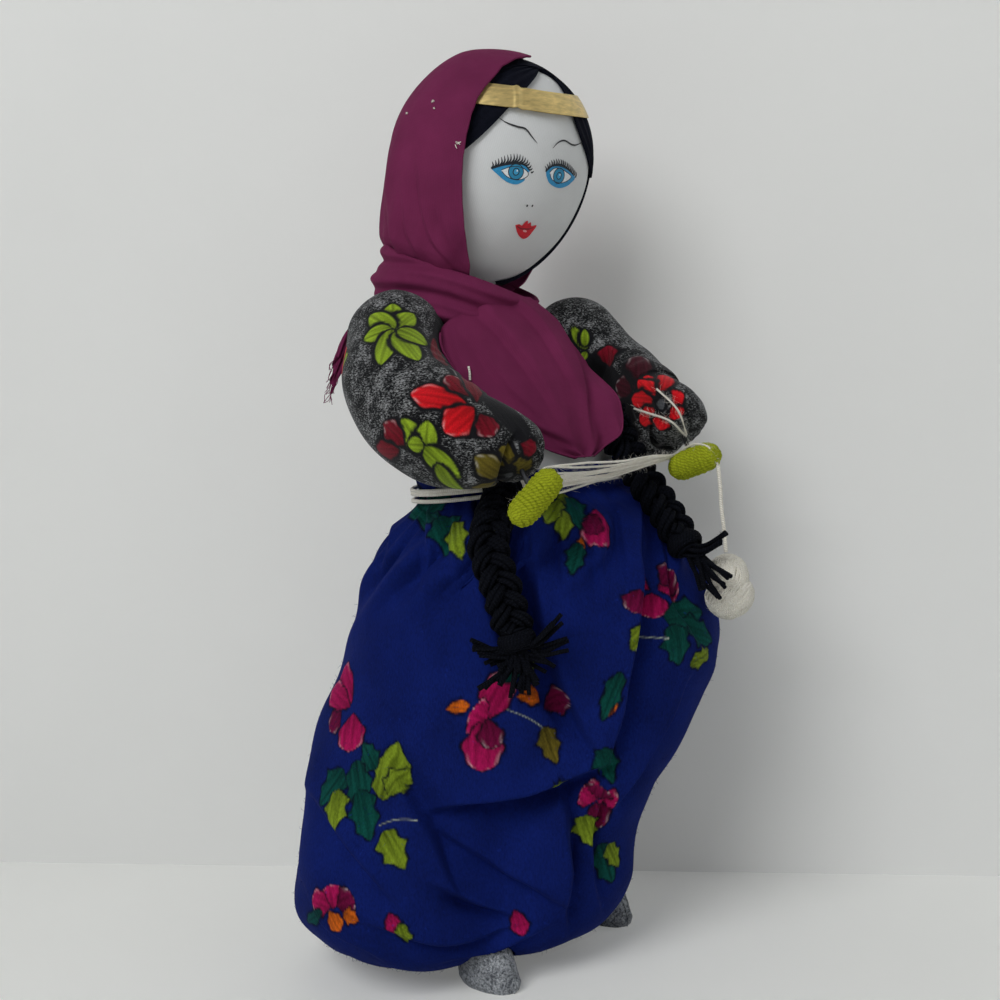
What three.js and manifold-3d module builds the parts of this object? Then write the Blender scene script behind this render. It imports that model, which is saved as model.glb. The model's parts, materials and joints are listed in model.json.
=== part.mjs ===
// Rag doll winding yarn, in millimetres: +Z up, the doll faces -Y and its left hand is on +X.
import * as THREE from "three";
import { mergeVertices } from "three/addons/utils/BufferGeometryUtils.js";
import Module from "manifold-3d";

const wasm = await Module();
wasm.setup();

const { Vector3, CatmullRomCurve3 } = THREE;
const at = (x, y, z) => new Vector3(x, y, z);
const { degToRad: radians, lerp, smoothstep, clamp } = THREE.MathUtils;

// Clearances
const SEAT = 0.35; // between pieces that touch
const BEYOND = 150; // far enough to cut right through the doll
const RUNNING = 0.4; // round a wire in its bore

// Wires of the armature
const WIRE_RADIUS = 1;

// Head, in a frame that stands on the neck and leans with it
const NECK_BASE = at(-9, 9, 269);
const HEAD_NOD = radians(18);
const HEAD_LEAN = radians(15);
const HEAD_TURN = radians(-6);
const CHIN_RISE = 4;
const HEAD_HALF_WIDTH = 38.5;
const HEAD_HALF_DEPTH = 34;
const HEAD_HALF_HEIGHT = 45;
const HEAD_TAPER = 0.1;
const HEAD_BORE_DEPTH = 40;
const FELT_THICKNESS = 1.1;
const BAND_THICKNESS = 0.6;
const BAND_HEIGHT = 8;
const BAND_RISE = 31.4;
const BAND_LEAN = radians(-10);
const PARTING_RISE = 40;
const LOCK_DROP = 9;
const LOCK_SPREAD = 31;
const HAIR_BACK_START = -13;

// Scarf
const HOOD_THICKNESS = 2.6;
const HOOD_DRAPE = 0.28;
const HOOD_EDGE_RIGHT = 31;
const HOOD_EDGE_LEFT = 36;
const HOOD_LEFT_SETBACK = 10;
const HOOD_EDGE_RISE = 47;
const HOOD_EDGE_DROP = 40;
const HOOD_EDGE_MIDDLE = 5;
const HOOD_EDGE_LOW = 0.6; // how full the opening's curve is below and above its middle
const HOOD_EDGE_HIGH = 0.8;
const HOOD_FOOT = 4.5;
const COLLAR_RADIUS = 32;
const COLLAR_INNER_RADIUS = 20;
const COLLAR_HEIGHT = 20;
const COLLAR_ROLL = 4;
const CLOTH_THICKNESS = 2.2;
const CHEST_FALL = { facing: -1, tip: at(4, -47, 202), topHalfWidth: 31 };
const BACK_FALL = { facing: 1, tip: at(-3, 27, 212), topHalfWidth: 29 };
const TAIL_POINTS = [at(-40, 28, 257), at(-53, 28, 249), at(-60, 27, 240)];
const TAIL_HALF_WIDTH = 5;
const FALL_BELLY = 6;
const FALL_FOLD = 1.6;
const FALL_BOW = 11;
const FALL_COVER = 25;
const FALL_ROUNDING = 0.94; // how far a fall narrows to its tip
const FALL_FLATTENING = 0.75; // how far its bow has gone at the tip
const FALL_WAVES = 2.5;

// Torso: half width, half depth and height of each level, and where the level is centred
const WAIST_HALF_WIDTH = 42;
const WAIST_HALF_DEPTH = 32;
const TORSO_FOOT = 146;
const WAIST_HEIGHT = 190;
const TORSO_TOP = NECK_BASE.z + 5;
const TORSO_LEVELS = [at(32, 25, TORSO_FOOT), at(41, 31, 168),
  at(WAIST_HALF_WIDTH, WAIST_HALF_DEPTH, WAIST_HEIGHT), at(39, 31, 212),
  at(33, 28, 233), at(25, 22, 250), at(14, 14, 261), at(10.5, 10.5, TORSO_TOP)];
const TORSO_CENTRES = [at(0, -10, TORSO_FOOT), at(0, -10, 168), at(0, -10, WAIST_HEIGHT), at(-2, -8, 212),
  at(-4, -5, 233), at(-6.5, 0, 250), at(-8.5, 6, 261), at(NECK_BASE.x, NECK_BASE.y, TORSO_TOP)];

// Arms: the shoulders share one axis, a little lower on the left
const SHOULDER_MID = at(-1.5, 0, 248);
const SHOULDER_HALF_SPAN = 44.5;
const SHOULDER_SLOPE = radians(3.9);
const ARMHOLE_OFFSET = 25.5;
const SHOULDER_RADIUS = 19;
const SLEEVE_RADIUS = 21;
const WRIST_RADIUS = 15;
const SWELL_END = 0.35; // shares of the sleeve's length
const TAPER_START = 0.6;
const TAPER_END = 0.95;
const ROUND_START = 0.82;
const WRIST_ROUNDING = 0.3;
const ARMHOLE_RADIUS = SLEEVE_RADIUS + 2;
const ARM_SWING = radians(35);
const SWING_STEPS = 2;
const SWING_LEADS = [0, 2, 4, 6, 8, 10, 12, 14, 17, 20, 22].map(radians); // turns where the body is near
const RELIEF_RADIUS = 23.5; // round the shoulder axis, where a sleeve with a flat inside stays full
const WIRE_STUB_START = 5;
const NECK_LENGTH = 17;
const HAND_RADIUS = 5.7;
const HAND_HALF_LENGTH = 12.5;
const HAND_YARN_RADIUS = 1.05;
const HAND_TURNS = 6;
const ARMS = {
  right: {
    side: -1,
    bends: [at(-56, -13, 234), at(-58, -31, 220), at(-50, -47, 210)],
    wrist: at(-38.2, -60.1, 200.6),
    neckAim: at(-0.118, -0.64, -0.753),
    handAim: at(0.68, -0.28, 0.675),
  },
  left: {
    side: 1,
    bends: [at(47, -7, 233), at(49, -18, 222), at(48.5, -36, 212)],
    wrist: at(49, -53, 205.5),
    neckAim: at(-0.19, -0.6, -0.77),
    handAim: at(0.14, -0.958, 0.25),
    flatInside: 41.5, // from the middle of the shoulders, so that the sleeve swings past the plait
  },
};

// Yarn held between the hands, and the ball that hangs from it
const YARN_RADIUS = 0.8;
const SKEIN_LOOPS = 4;
const SKEIN_PITCH = 2.35;
const SKEIN_START = 2;
const STRAND_LENGTH = 34;
const BALL_RADIUS = 13.2;
const BALL_HALF_LENGTH = 9.6;
const BALL_TURNS = 6;
const BALL_YARN_RADIUS = 0.9;
const BALL_TURN = radians(-36);

// Trousers: size of each level as half width, half depth and height, then its centre and its turn
const TROUSERS_WALL = 2;
const WAIST_SLACK = 0.8;
const BAND_HALF_WIDTH = WAIST_HALF_WIDTH + WAIST_SLACK + TROUSERS_WALL;
const BAND_HALF_DEPTH = WAIST_HALF_DEPTH + WAIST_SLACK + TROUSERS_WALL;
const BAND_TOP = 196;
const BAND_FOOT = 186;
const TROUSERS_LEVELS = [at(BAND_HALF_WIDTH, BAND_HALF_DEPTH, BAND_TOP),
  at(BAND_HALF_WIDTH, BAND_HALF_DEPTH, BAND_FOOT), at(60, 50, 172), at(71.5, 61, 146),
  at(77.4, 66, 122), at(77.8, 67, 98), at(75.8, 66, 75), at(71.8, 63, 50),
  at(69, 58, 28), at(57, 48, 13), at(34, 29, 6), at(5, 4, 4.5)];
const BAG_TURN = radians(-36);
const TROUSERS_CENTRES = [at(0, -10, 0), at(0, -10, 0), at(1, -10, 0), at(2.6, -7.7, (2 / 3) * BAG_TURN),
  at(0.7, -4, BAG_TURN), at(-7.8, 2.3, BAG_TURN), at(-15.8, 6.3, BAG_TURN), at(-28, 10.8, BAG_TURN),
  at(-34, 12, BAG_TURN), at(-35, 11, BAG_TURN), at(-35, 11, BAG_TURN), at(-35, 11, BAG_TURN)];
const GATHERS = 15;
const GATHER_DEPTH = 0.045;
const GATHER_HEIGHT = BAND_FOOT - 23;
const GATHER_SPREAD = 12;
const VALLEY_DEPTH = 0.17;
const VALLEY_AIM = radians(-78);
const VALLEY_WIDTH = 0.3;
const DRAPE_DEPTH = 0.035;
const DRAPE_START = 38; // below the band
const DRAPE_FULL = 118;
const CUFF_FOOT = 15;
const CUFF_RADIUS = 12;
const CUFFS = { right: { top: 24, radius: 12.5 }, left: { top: 80, radius: 14 } };
const WAIST_CORD_RADIUS = 1;
const WAIST_CORD_TURNS = 3;
const WAIST_CORD_STEPS = 20;
const WAIST_CORD_PITCH = 2.5;
const WAIST_CORD_HEIGHT = (BAND_TOP + BAND_FOOT) / 2 - 1;

// Legs and feet
const HIP_HEIGHT = 140;
const HIP_DEPTH = -9;
const HIP_HALF_SPAN = 19;
const HIP_RADIUS = 14;
const ANKLE_RADIUS = 8;
const BOOTIE_HEIGHT = 22;
const SOLE_HALF_WIDTH = 8.5;
const SOLE_HALF_LENGTH = 17;
const TOE_REACH = 4;
const FOOT_PADDING = 5;
const BOOTIE_SLACK = 1;
const FEET = { right: at(-47, -17.5, 0), left: at(28, 3.5, 0) };

// Plaits: hand-picked points down to the waist, then the side and height where they lie on the trousers
const BRAID_HALF_WIDTH = 7.8;
const BRAID_HALF_DEPTH = 7;
const TIE_HEIGHT = 6;
const TIE_RADIUS = 7.4;
const TASSEL_RADIUS = 8;
const BRAIDS = {
  right: {
    from: [at(-28, -33, 226), at(-30, -34, 208), at(-33, -42, 190)],
    lies: [[radians(-136), 172], [radians(-133), 156], [radians(-131), 140]],
    tasselReach: at(-2, -3, -17),
  },
  left: {
    from: [at(22, -38, 226), at(24.5, -43, 206), at(32, -47, 188)],
    lies: [[radians(-58), 176], [radians(-63), 164]],
    tasselReach: at(-5, -14, -5),
  },
};

const doll = new THREE.Group();

// Adds a named piece with its own material to a group
function addPiece(group, name, geometry, colour, roughness = 0.95, metalness = 0) {
  geometry.computeVertexNormals();
  const material = new THREE.MeshStandardMaterial({ color: colour, roughness, metalness });
  const mesh = new THREE.Mesh(geometry, material);
  mesh.name = name;
  group.add(mesh);
}

// Joins rings of points into one closed skin that faces out
function loft(rings) {
  const count = rings[0].length;
  const points = rings.flat();
  const index = [];
  for (let r = 0; r + 1 < rings.length; r++) {
    for (let i = 0; i < count; i++) {
      const a = r * count + i;
      const b = r * count + ((i + 1) % count);
      index.push(a, b, b + count, a, b + count, a + count);
    }
  }
  for (const [r, flip] of [[0, true], [rings.length - 1, false]]) {
    const middle = rings[r].reduce((sum, p) => sum.add(p), at(0, 0, 0)).divideScalar(count);
    points.push(middle);
    for (let i = 0; i < count; i++) {
      const a = r * count + i;
      const b = r * count + ((i + 1) % count);
      index.push(points.length - 1, flip ? b : a, flip ? a : b);
    }
  }
  return faceOut(points, index);
}

function faceOut(points, index) {
  let volume = 0;
  for (let i = 0; i < index.length; i += 3) {
    const [a, b, c] = [points[index[i]], points[index[i + 1]], points[index[i + 2]]];
    volume += a.dot(b.clone().cross(c));
  }
  const geometry = new THREE.BufferGeometry().setFromPoints(points);
  geometry.setIndex(volume > 0 ? index : index.reverse());
  return geometry;
}

// A flat ring of points round a centre, with its own half sizes and turn
function ellipse(centre, halfWidth, halfDepth, count, turn = 0, stretch = () => 1) {
  return Array.from({ length: count }, (_, i) => {
    const angle = (i / count) * 2 * Math.PI;
    const reach = stretch(angle);
    const x = halfWidth * reach * Math.cos(angle);
    const y = halfDepth * reach * Math.sin(angle);
    return at(x, y, 0).applyAxisAngle(at(0, 0, 1), turn).add(centre);
  });
}

// A tube through a list of centres, whose half sizes across may change on the way
function sweep(centres, sizeAt, sides) {
  const last = centres.length - 1;
  let normal = at(0.31, 0.17, 0.93);
  const rings = centres.map((centre, i) => {
    const tangent = centres[Math.min(i + 1, last)].clone().sub(centres[Math.max(i - 1, 0)]).normalize();
    normal = normal.clone().addScaledVector(tangent, -normal.dot(tangent)).normalize();
    const across = tangent.clone().cross(normal);
    const [a, b] = sizeAt(i / last);
    return Array.from({ length: sides }, (_, k) => {
      const angle = (k / sides) * 2 * Math.PI;
      const out = centre.clone().addScaledVector(normal, a * Math.cos(angle));
      return out.addScaledVector(across, b * Math.sin(angle));
    });
  });
  return loft(rings);
}

// A round bar of one diameter along a curve
function rod(curve, radius, steps, sides = 6) {
  const section = new THREE.Shape().absarc(0, 0, radius, 0, 2 * Math.PI);
  const options = { steps, curveSegments: sides / 2, extrudePath: curve, bevelEnabled: false };
  return new THREE.ExtrudeGeometry(section, options);
}

function solid(geometry) {
  const bare = geometry.clone();
  bare.deleteAttribute("normal");
  bare.deleteAttribute("uv");
  const merged = mergeVertices(bare, 1e-4);
  const vertProperties = new Float32Array(merged.attributes.position.array);
  const triVerts = new Uint32Array(merged.index.array);
  return new wasm.Manifold(new wasm.Mesh({ numProp: 3, vertProperties, triVerts }));
}

function skin(body) {
  const mesh = body.getMesh();
  const geometry = new THREE.BufferGeometry();
  geometry.setAttribute("position", new THREE.BufferAttribute(new Float32Array(mesh.vertProperties), 3));
  geometry.setIndex(new THREE.BufferAttribute(new Uint32Array(mesh.triVerts), 1));
  return geometry;
}

const cut = (...parts) => skin(parts.map(solid).reduce((body, tool) => body.subtract(tool)));
const join = (...parts) => skin(parts.map(solid).reduce((body, part) => body.add(part)));
const common = (...parts) => skin(parts.map(solid).reduce((body, part) => body.intersect(part)));

// The biggest body that is left after cuts
function biggest(geometry) {
  const bodies = solid(geometry).decompose();
  return skin(bodies.reduce((best, body) => (body.volume() > best.volume() ? body : best)));
}

const placed = (geometry, object) => geometry.clone().applyMatrix4(object.matrixWorld);

// Says how near a winding comes to itself, on the points of its middle line
function reportGap(name, points, radius) {
  const skip = Math.ceil((3 * radius) / points[0].distanceTo(points[1]));
  let least = Infinity;
  for (let i = 0; i < points.length; i++) {
    for (let j = i + skip; j < points.length; j++) least = Math.min(least, points[i].distanceTo(points[j]));
  }
  console.log(`${name}: least gap to itself ${(least - 2 * radius).toFixed(2)} mm`);
}

// Frame of the neck, and of the head that turns in it
const neck = new THREE.Group();
neck.position.copy(NECK_BASE);
neck.rotation.set(HEAD_NOD, HEAD_LEAN, 0);
const headFrame = new THREE.Group();
headFrame.position.z = CHIN_RISE + HEAD_HALF_HEIGHT;
headFrame.rotation.z = HEAD_TURN;
neck.add(headFrame);
doll.add(neck);
doll.updateMatrixWorld(true);

// Frame along the shoulder axis
const shoulderAxis = at(Math.cos(SHOULDER_SLOPE), 0, -Math.sin(SHOULDER_SLOPE));
const onShoulderAxis = (distance) => SHOULDER_MID.clone().addScaledVector(shoulderAxis, distance);

// A drum round the shoulder axis between two distances along it
function shoulderDrum(from, to, radius) {
  return rod(new THREE.LineCurve3(onShoulderAxis(from), onShoulderAxis(to)), radius, 1, 18);
}

function torsoLevels(grow) {
  const sizes = new CatmullRomCurve3(TORSO_LEVELS);
  const centres = new CatmullRomCurve3(TORSO_CENTRES);
  const levels = TORSO_LEVELS.length + 3;
  return Array.from({ length: levels + 1 }, (_, i) => {
    const size = sizes.getPoint(i / levels);
    return ellipse(centres.getPoint(i / levels), size.x + grow, size.y + grow, 18);
  });
}

const armholes = [-1, 1].map((side) => shoulderDrum(side * ARMHOLE_OFFSET, side * BEYOND, ARMHOLE_RADIUS));
const torsoTool = () => cut(loft(torsoLevels(SEAT)), ...armholes);

// Egg of the head; the hood's form falls straight from its widest level
function headEgg(grow, draped = false) {
  const levels = 11;
  const rings = [];
  for (let i = 1; i < levels; i++) {
    const angle = Math.PI * (i / levels - 0.5);
    const falls = draped && angle < 0;
    const rise = Math.sin(angle);
    const swell = falls ? 1 - HOOD_DRAPE * rise * rise : Math.cos(angle) * (1 + HEAD_TAPER * rise);
    const centre = at(0, 0, (HEAD_HALF_HEIGHT + grow) * rise);
    rings.push(ellipse(centre, (HEAD_HALF_WIDTH + grow) * swell, (HEAD_HALF_DEPTH + grow) * swell, 22));
  }
  return loft(rings);
}

// A prism through the head along Y, cut to an outline of its front view
function frontPrism(outline, from, to) {
  const options = { depth: to - from, bevelEnabled: false, curveSegments: 12 };
  const prism = new THREE.ExtrudeGeometry(outline, options);
  return prism.rotateX(Math.PI / 2).translate(0, to, 0);
}

function block(width, depth, height) {
  return new THREE.BoxGeometry(width, depth, height);
}

const FELT_IN = SEAT;
const FELT_OUT = FELT_IN + FELT_THICKNESS;
const BAND_IN = FELT_OUT + SEAT;
const BAND_OUT = BAND_IN + BAND_THICKNESS;
const HOOD_IN = BAND_OUT + SEAT;
const HOOD_OUT = HOOD_IN + HOOD_THICKNESS;

function neckRod(from, to, radius) {
  return rod(new THREE.LineCurve3(at(0, 0, from), at(0, 0, to)), radius, 1, 10);
}

function addHead() {
  const boreTop = HEAD_BORE_DEPTH - HEAD_HALF_HEIGHT;
  addPiece(headFrame, "head", cut(headEgg(0), neckRod(-BEYOND, boreTop, WIRE_RADIUS + RUNNING)), 0xe9ecee);
  const felt = cut(headEgg(FELT_OUT), headEgg(FELT_IN));
  const behind = block(BEYOND, BEYOND, BEYOND).translate(0, BEYOND / 2 + HAIR_BACK_START, 0);
  const neckHole = neckRod(-BEYOND, 0, COLLAR_INNER_RADIUS / 2);
  addPiece(headFrame, "hair_back", cut(common(felt, behind), neckHole), 0x101014);
  for (const [name, side] of [["hair_lock_right", -1], ["hair_lock_left", 1]]) {
    addPiece(headFrame, name, common(felt, hairLock(side)), 0x101014);
  }
  const slab = block(BEYOND, BEYOND, BAND_HEIGHT).rotateY(BAND_LEAN).translate(0, -BEYOND / 2, BAND_RISE);
  addPiece(headFrame, "headband", common(cut(headEgg(BAND_OUT), headEgg(BAND_IN)), slab), 0xc9a655, 0.3, 0.9);
}

// Outline of one lock: from the parting out over the temple and back along the hairline
function hairLock(side) {
  const outline = new THREE.Shape();
  outline.moveTo(side * SEAT, PARTING_RISE + FELT_OUT + HEAD_HALF_HEIGHT);
  outline.lineTo(side * SEAT, PARTING_RISE);
  outline.quadraticCurveTo(side * 0.3 * LOCK_SPREAD, PARTING_RISE - 12, side * LOCK_SPREAD, LOCK_DROP);
  outline.lineTo(side * BEYOND, LOCK_DROP);
  outline.lineTo(side * BEYOND, PARTING_RISE + FELT_OUT + HEAD_HALF_HEIGHT);
  return frontPrism(outline, -BEYOND, HAIR_BACK_START - SEAT);
}

// Hood: a skin round the egg, open in front and cut level above the collar
function hoodShell() {
  const shell = cut(headEgg(HOOD_OUT, true), headEgg(HOOD_IN, true));
  const face = new THREE.Shape();
  face.moveTo(0, -HOOD_EDGE_DROP);
  for (const [side, high] of [[HOOD_EDGE_LEFT, 1], [-HOOD_EDGE_RIGHT, -1]]) {
    const drop = -high * HOOD_EDGE_DROP;
    const rise = high * HOOD_EDGE_RISE;
    face.bezierCurveTo(HOOD_EDGE_LOW * side, drop, side, drop / 2, side, HOOD_EDGE_MIDDLE);
    face.bezierCurveTo(side, HOOD_EDGE_HIGH * rise, HOOD_EDGE_HIGH * side, rise, 0, rise);
  }
  const footHeight = HOOD_FOOT - CHIN_RISE - HEAD_HALF_HEIGHT;
  const below = block(BEYOND, BEYOND, BEYOND).translate(0, 0, footHeight - BEYOND / 2);
  const aside = HOOD_LEFT_SETBACK + BEYOND / 2;
  const setback = block(BEYOND, BEYOND, BEYOND).translate(aside, HOOD_LEFT_SETBACK - BEYOND / 2, 0);
  return biggest(cut(shell, frontPrism(face, -BEYOND, 0), below, setback));
}

// A fall of the scarf: a folded sheet from the collar to a rounded tip, grown inward and outward for cuts.
// Facing is -1 on the chest and 1 on the back.
function scarfFall({ facing, tip, topHalfWidth }, inward = 0, outward = 0) {
  const rows = 6;
  const columns = 8;
  const top = NECK_BASE.clone().add(at(3, facing * (COLLAR_INNER_RADIUS + 9), -COLLAR_HEIGHT * 0.55));
  const outer = [];
  const inner = [];
  for (let r = 0; r <= rows; r++) {
    const down = r / rows;
    const middle = top.clone().lerp(tip, down);
    const half = topHalfWidth * Math.sqrt(1 - FALL_ROUNDING * down * down);
    for (let c = 0; c <= columns; c++) {
      const across = (2 * c) / columns - 1;
      const bow = FALL_BOW * across * across * (1 - FALL_FLATTENING * down);
      const fold = FALL_FOLD * down * Math.cos(FALL_WAVES * Math.PI * across);
      const belly = FALL_BELLY * Math.sin(Math.PI * down);
      const point = middle.clone().add(at(half * across, facing * (belly - bow - fold), 0));
      outer.push(point.clone().add(at(0, facing * outward, 0)));
      inner.push(point.clone().add(at(0, -facing * (CLOTH_THICKNESS + inward), 0)));
    }
  }
  return sheetSkin(outer, inner, rows, columns);
}

// Closes two grids of points into one sheet
function sheetSkin(front, back, rows, columns) {
  const wide = columns + 1;
  const shift = front.length;
  const index = [];
  const quad = (a, b, c, d) => index.push(a, b, c, a, c, d);
  for (let r = 0; r < rows; r++) {
    for (let c = 0; c < columns; c++) {
      const a = r * wide + c;
      quad(a, a + wide, a + wide + 1, a + 1);
      quad(shift + a, shift + a + 1, shift + a + wide + 1, shift + a + wide);
    }
  }
  const rim = [];
  for (let c = 0; c < columns; c++) rim.push(c);
  for (let r = 0; r < rows; r++) rim.push(r * wide + columns);
  for (let c = columns; c > 0; c--) rim.push(rows * wide + c);
  for (let r = rows; r > 0; r--) rim.push(r * wide);
  rim.forEach((a, i) => {
    const b = rim[(i + 1) % rim.length];
    quad(a, b, shift + b, shift + a);
  });
  return faceOut([...front, ...back], index);
}

// Collar of wound scarf round the neck, rolled over at its top
function collarRing(grow = 0) {
  const top = HOOD_FOOT - SEAT + grow;
  const foot = HOOD_FOOT - SEAT - COLLAR_HEIGHT - grow;
  const outside = COLLAR_RADIUS + grow;
  const roll = COLLAR_ROLL;
  const profile = [
    [COLLAR_INNER_RADIUS, foot + roll], [outside - roll, foot], [outside, foot + roll],
    [outside + 1, (top + foot) / 2], [outside, top - roll], [outside - roll, top],
    [COLLAR_INNER_RADIUS + roll, top - roll], [COLLAR_INNER_RADIUS, top - 2 * roll],
    [COLLAR_INNER_RADIUS, foot + roll],
  ].map(([r, z]) => new THREE.Vector2(r, z));
  return new THREE.LatheGeometry(profile, 24).rotateX(Math.PI / 2);
}

function shoulderBall(side, grow) {
  const centre = onShoulderAxis(side * SHOULDER_HALF_SPAN);
  return new THREE.SphereGeometry(SHOULDER_RADIUS + grow, 14, 8).translate(centre.x, centre.y, centre.z);
}

// Room that a sleeve sweeps as the arm swings up
function sleeveSweep(arm, grow) {
  const turns = Array.from({ length: SWING_STEPS + 1 }, (_, i) => (i / SWING_STEPS) * ARM_SWING);
  return join(...turns.map((turn) => swung(sleeveSkin(arm, grow), turn)));
}

// A shape turned about the shoulder axis, upward where the angle is positive
function swung(geometry, angle) {
  const turned = geometry.clone().translate(...SHOULDER_MID.clone().negate().toArray());
  turned.applyMatrix4(new THREE.Matrix4().makeRotationAxis(shoulderAxis, -angle));
  return turned.translate(...SHOULDER_MID.toArray());
}

function addScarf() {
  addPiece(headFrame, "scarf_hood", hoodShell(), 0x70284e, 0.8);
  const collar = placed(collarRing(), neck);
  const sleeves = Object.values(ARMS).map((arm) => sleeveSweep(arm, 2 * SEAT));
  const body = loft(torsoLevels(SEAT));
  const wrap = cut(join(collar, scarfFall(CHEST_FALL), scarfFall(BACK_FALL)), body, ...sleeves);
  addPiece(doll, "scarf_wrap", biggest(wrap), 0x70284e, 0.8);
  const root = NECK_BASE.clone().add(at(-COLLAR_RADIUS * 0.75, COLLAR_RADIUS * 0.75, -COLLAR_HEIGHT * 0.45));
  const route = new CatmullRomCurve3([root, ...TAIL_POINTS]);
  const half = (u) => [CLOTH_THICKNESS, TAIL_HALF_WIDTH * (1 + 0.8 * Math.sin(2.4 * u))];
  const tail = sweep(route.getSpacedPoints(6), half, 10);
  const clear = [placed(collarRing(SEAT), neck), scarfFall(BACK_FALL, SEAT, SEAT), body, ...sleeves];
  addPiece(doll, "scarf_tail", biggest(cut(tail, ...clear)), 0x70284e, 0.8);
}

// Arms
const neckEnd = (arm) => arm.wrist.clone().addScaledVector(arm.neckAim, NECK_LENGTH);
for (const arm of Object.values(ARMS)) {
  arm.neckAim.normalize();
  arm.handAim.normalize();
  arm.shoulder = onShoulderAxis(arm.side * SHOULDER_HALF_SPAN);
  arm.hand = neckEnd(arm);
}

function armRoute(arm) {
  const stub = [WIRE_STUB_START, ARMHOLE_OFFSET + 3, SHOULDER_HALF_SPAN - 4];
  const inside = arm.wrist.clone().addScaledVector(arm.neckAim, -6);
  const past = arm.wrist.clone().addScaledVector(arm.neckAim, NECK_LENGTH / 2);
  const shoulderPoints = stub.map((d) => onShoulderAxis(arm.side * d));
  return new CatmullRomCurve3([...shoulderPoints, ...arm.bends, inside, arm.wrist, past, arm.hand]);
}

function sleeveSkin(arm, grow) {
  const end = arm.wrist.clone().addScaledVector(arm.neckAim, grow);
  const before = arm.wrist.clone().addScaledVector(arm.neckAim, -5);
  const route = new CatmullRomCurve3([arm.shoulder, ...arm.bends, before, end]);
  const size = (u) => {
    const swelled = lerp(SHOULDER_RADIUS, SLEEVE_RADIUS, smoothstep(u, 0, SWELL_END));
    const taper = lerp(swelled, WRIST_RADIUS, smoothstep(u, TAPER_START, TAPER_END));
    const round = 1 - WRIST_ROUNDING * Math.pow(Math.max(0, (u - ROUND_START) / (1 - ROUND_START)), 2);
    const radius = taper * round + grow;
    return [radius, radius];
  };
  return join(sweep(route.getSpacedPoints(10), size, 14), shoulderBall(arm.side, grow));
}

// Flat inside of a sleeve, away from the shoulder
function sleeveRelief(arm) {
  return cut(shoulderDrum(0, arm.side * arm.flatInside, BEYOND), shoulderDrum(-BEYOND, BEYOND, RELIEF_RADIUS));
}

// Yarn wound round a bar that lies along local X, open at the back where a wire comes in
function windingPoints(halfLength, radius, yarnRadius, turns, openHalf) {
  const steps = 12;
  const reach = halfLength - yarnRadius;
  const round = radius - yarnRadius;
  const flat = Math.max(0, halfLength - radius);
  const ends = (reach - flat) * 0.86 + flat;
  const pitch = (2 * (ends - openHalf)) / turns;
  return Array.from({ length: turns * steps + 1 }, (_, i) => {
    const u = i / steps - turns / 2;
    const x = pitch * u + openHalf * clamp(2 * u, -1, 1);
    const past = Math.max(0, Math.abs(x) - flat) / (reach - flat);
    const across = round * Math.sqrt(1 - past * past);
    const angle = 2 * Math.PI * (u + 0.5);
    return at(x, across * Math.sin(angle), across * Math.cos(angle));
  });
}

function bobbin(halfLength, radius) {
  const flat = Math.max(0, halfLength - radius);
  const levels = 10;
  const rings = [];
  for (let i = 1; i < levels; i++) {
    const angle = Math.PI * (i / levels - 0.5);
    const x = (halfLength - flat) * Math.sin(angle) + Math.sign(Math.round(100 * Math.sin(angle))) * flat;
    const across = radius * Math.cos(angle);
    rings.push(ellipse(at(0, 0, x), across, across, 12));
  }
  return loft(rings).rotateY(Math.PI / 2);
}

function addWinding(group, name, points, radius, colour) {
  addPiece(group, name, sweep(points, () => [radius, radius], 5), colour);
  reportGap(name, points, radius);
}

function addArm(name, arm) {
  const route = armRoute(arm);
  addPiece(doll, `arm_wire_${name}`, rod(route, WIRE_RADIUS, 20), 0x8c8f92, 0.4, 0.8);
  const armhole = shoulderDrum(0, arm.side * (ARMHOLE_OFFSET + SEAT), 2 * SHOULDER_RADIUS);
  const bore = rod(route, WIRE_RADIUS + SEAT, 20);
  const clear = [loft(trouserRings(-SEAT)), waistDrum()];
  if (arm.flatInside) clear.push(sleeveRelief(arm));
  for (const lead of SWING_LEADS) {
    clear.push(swung(torsoTool(), -lead), swung(braidSkin(BRAIDS[name], SEAT), -lead));
  }
  addPiece(doll, `sleeve_${name}`, biggest(cut(sleeveSkin(arm, 0), armhole, bore, ...clear)), 0x4a4b4d);

  const hand = new THREE.Group();
  hand.position.copy(arm.hand);
  const lean = arm.neckAim.dot(arm.handAim);
  const back = arm.neckAim.clone().addScaledVector(arm.handAim, -lean).normalize().negate();
  hand.setRotationFromMatrix(new THREE.Matrix4().makeBasis(arm.handAim, back.clone().cross(arm.handAim), back));
  doll.add(hand);
  const padding = 2 * HAND_YARN_RADIUS + SEAT;
  const slant = lean / arm.neckAim.dot(back);
  const socketEnds = [-WIRE_RADIUS, HAND_RADIUS].map((z) => at(slant * z, 0, z));
  const socket = rod(new THREE.LineCurve3(...socketEnds), WIRE_RADIUS + SEAT, 1);
  const core = cut(bobbin(HAND_HALF_LENGTH - padding, HAND_RADIUS - padding), socket);
  addPiece(hand, `hand_core_${name}`, core, 0xd8d5cc);
  const open = WIRE_RADIUS + 3 * SEAT + HAND_YARN_RADIUS + Math.abs(slant) * HAND_RADIUS;
  const points = windingPoints(HAND_HALF_LENGTH, HAND_RADIUS, HAND_YARN_RADIUS, HAND_TURNS, open / 2);
  addWinding(hand, `hand_winding_${name}`, points, HAND_YARN_RADIUS, 0xa3ad1e);
}

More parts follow.
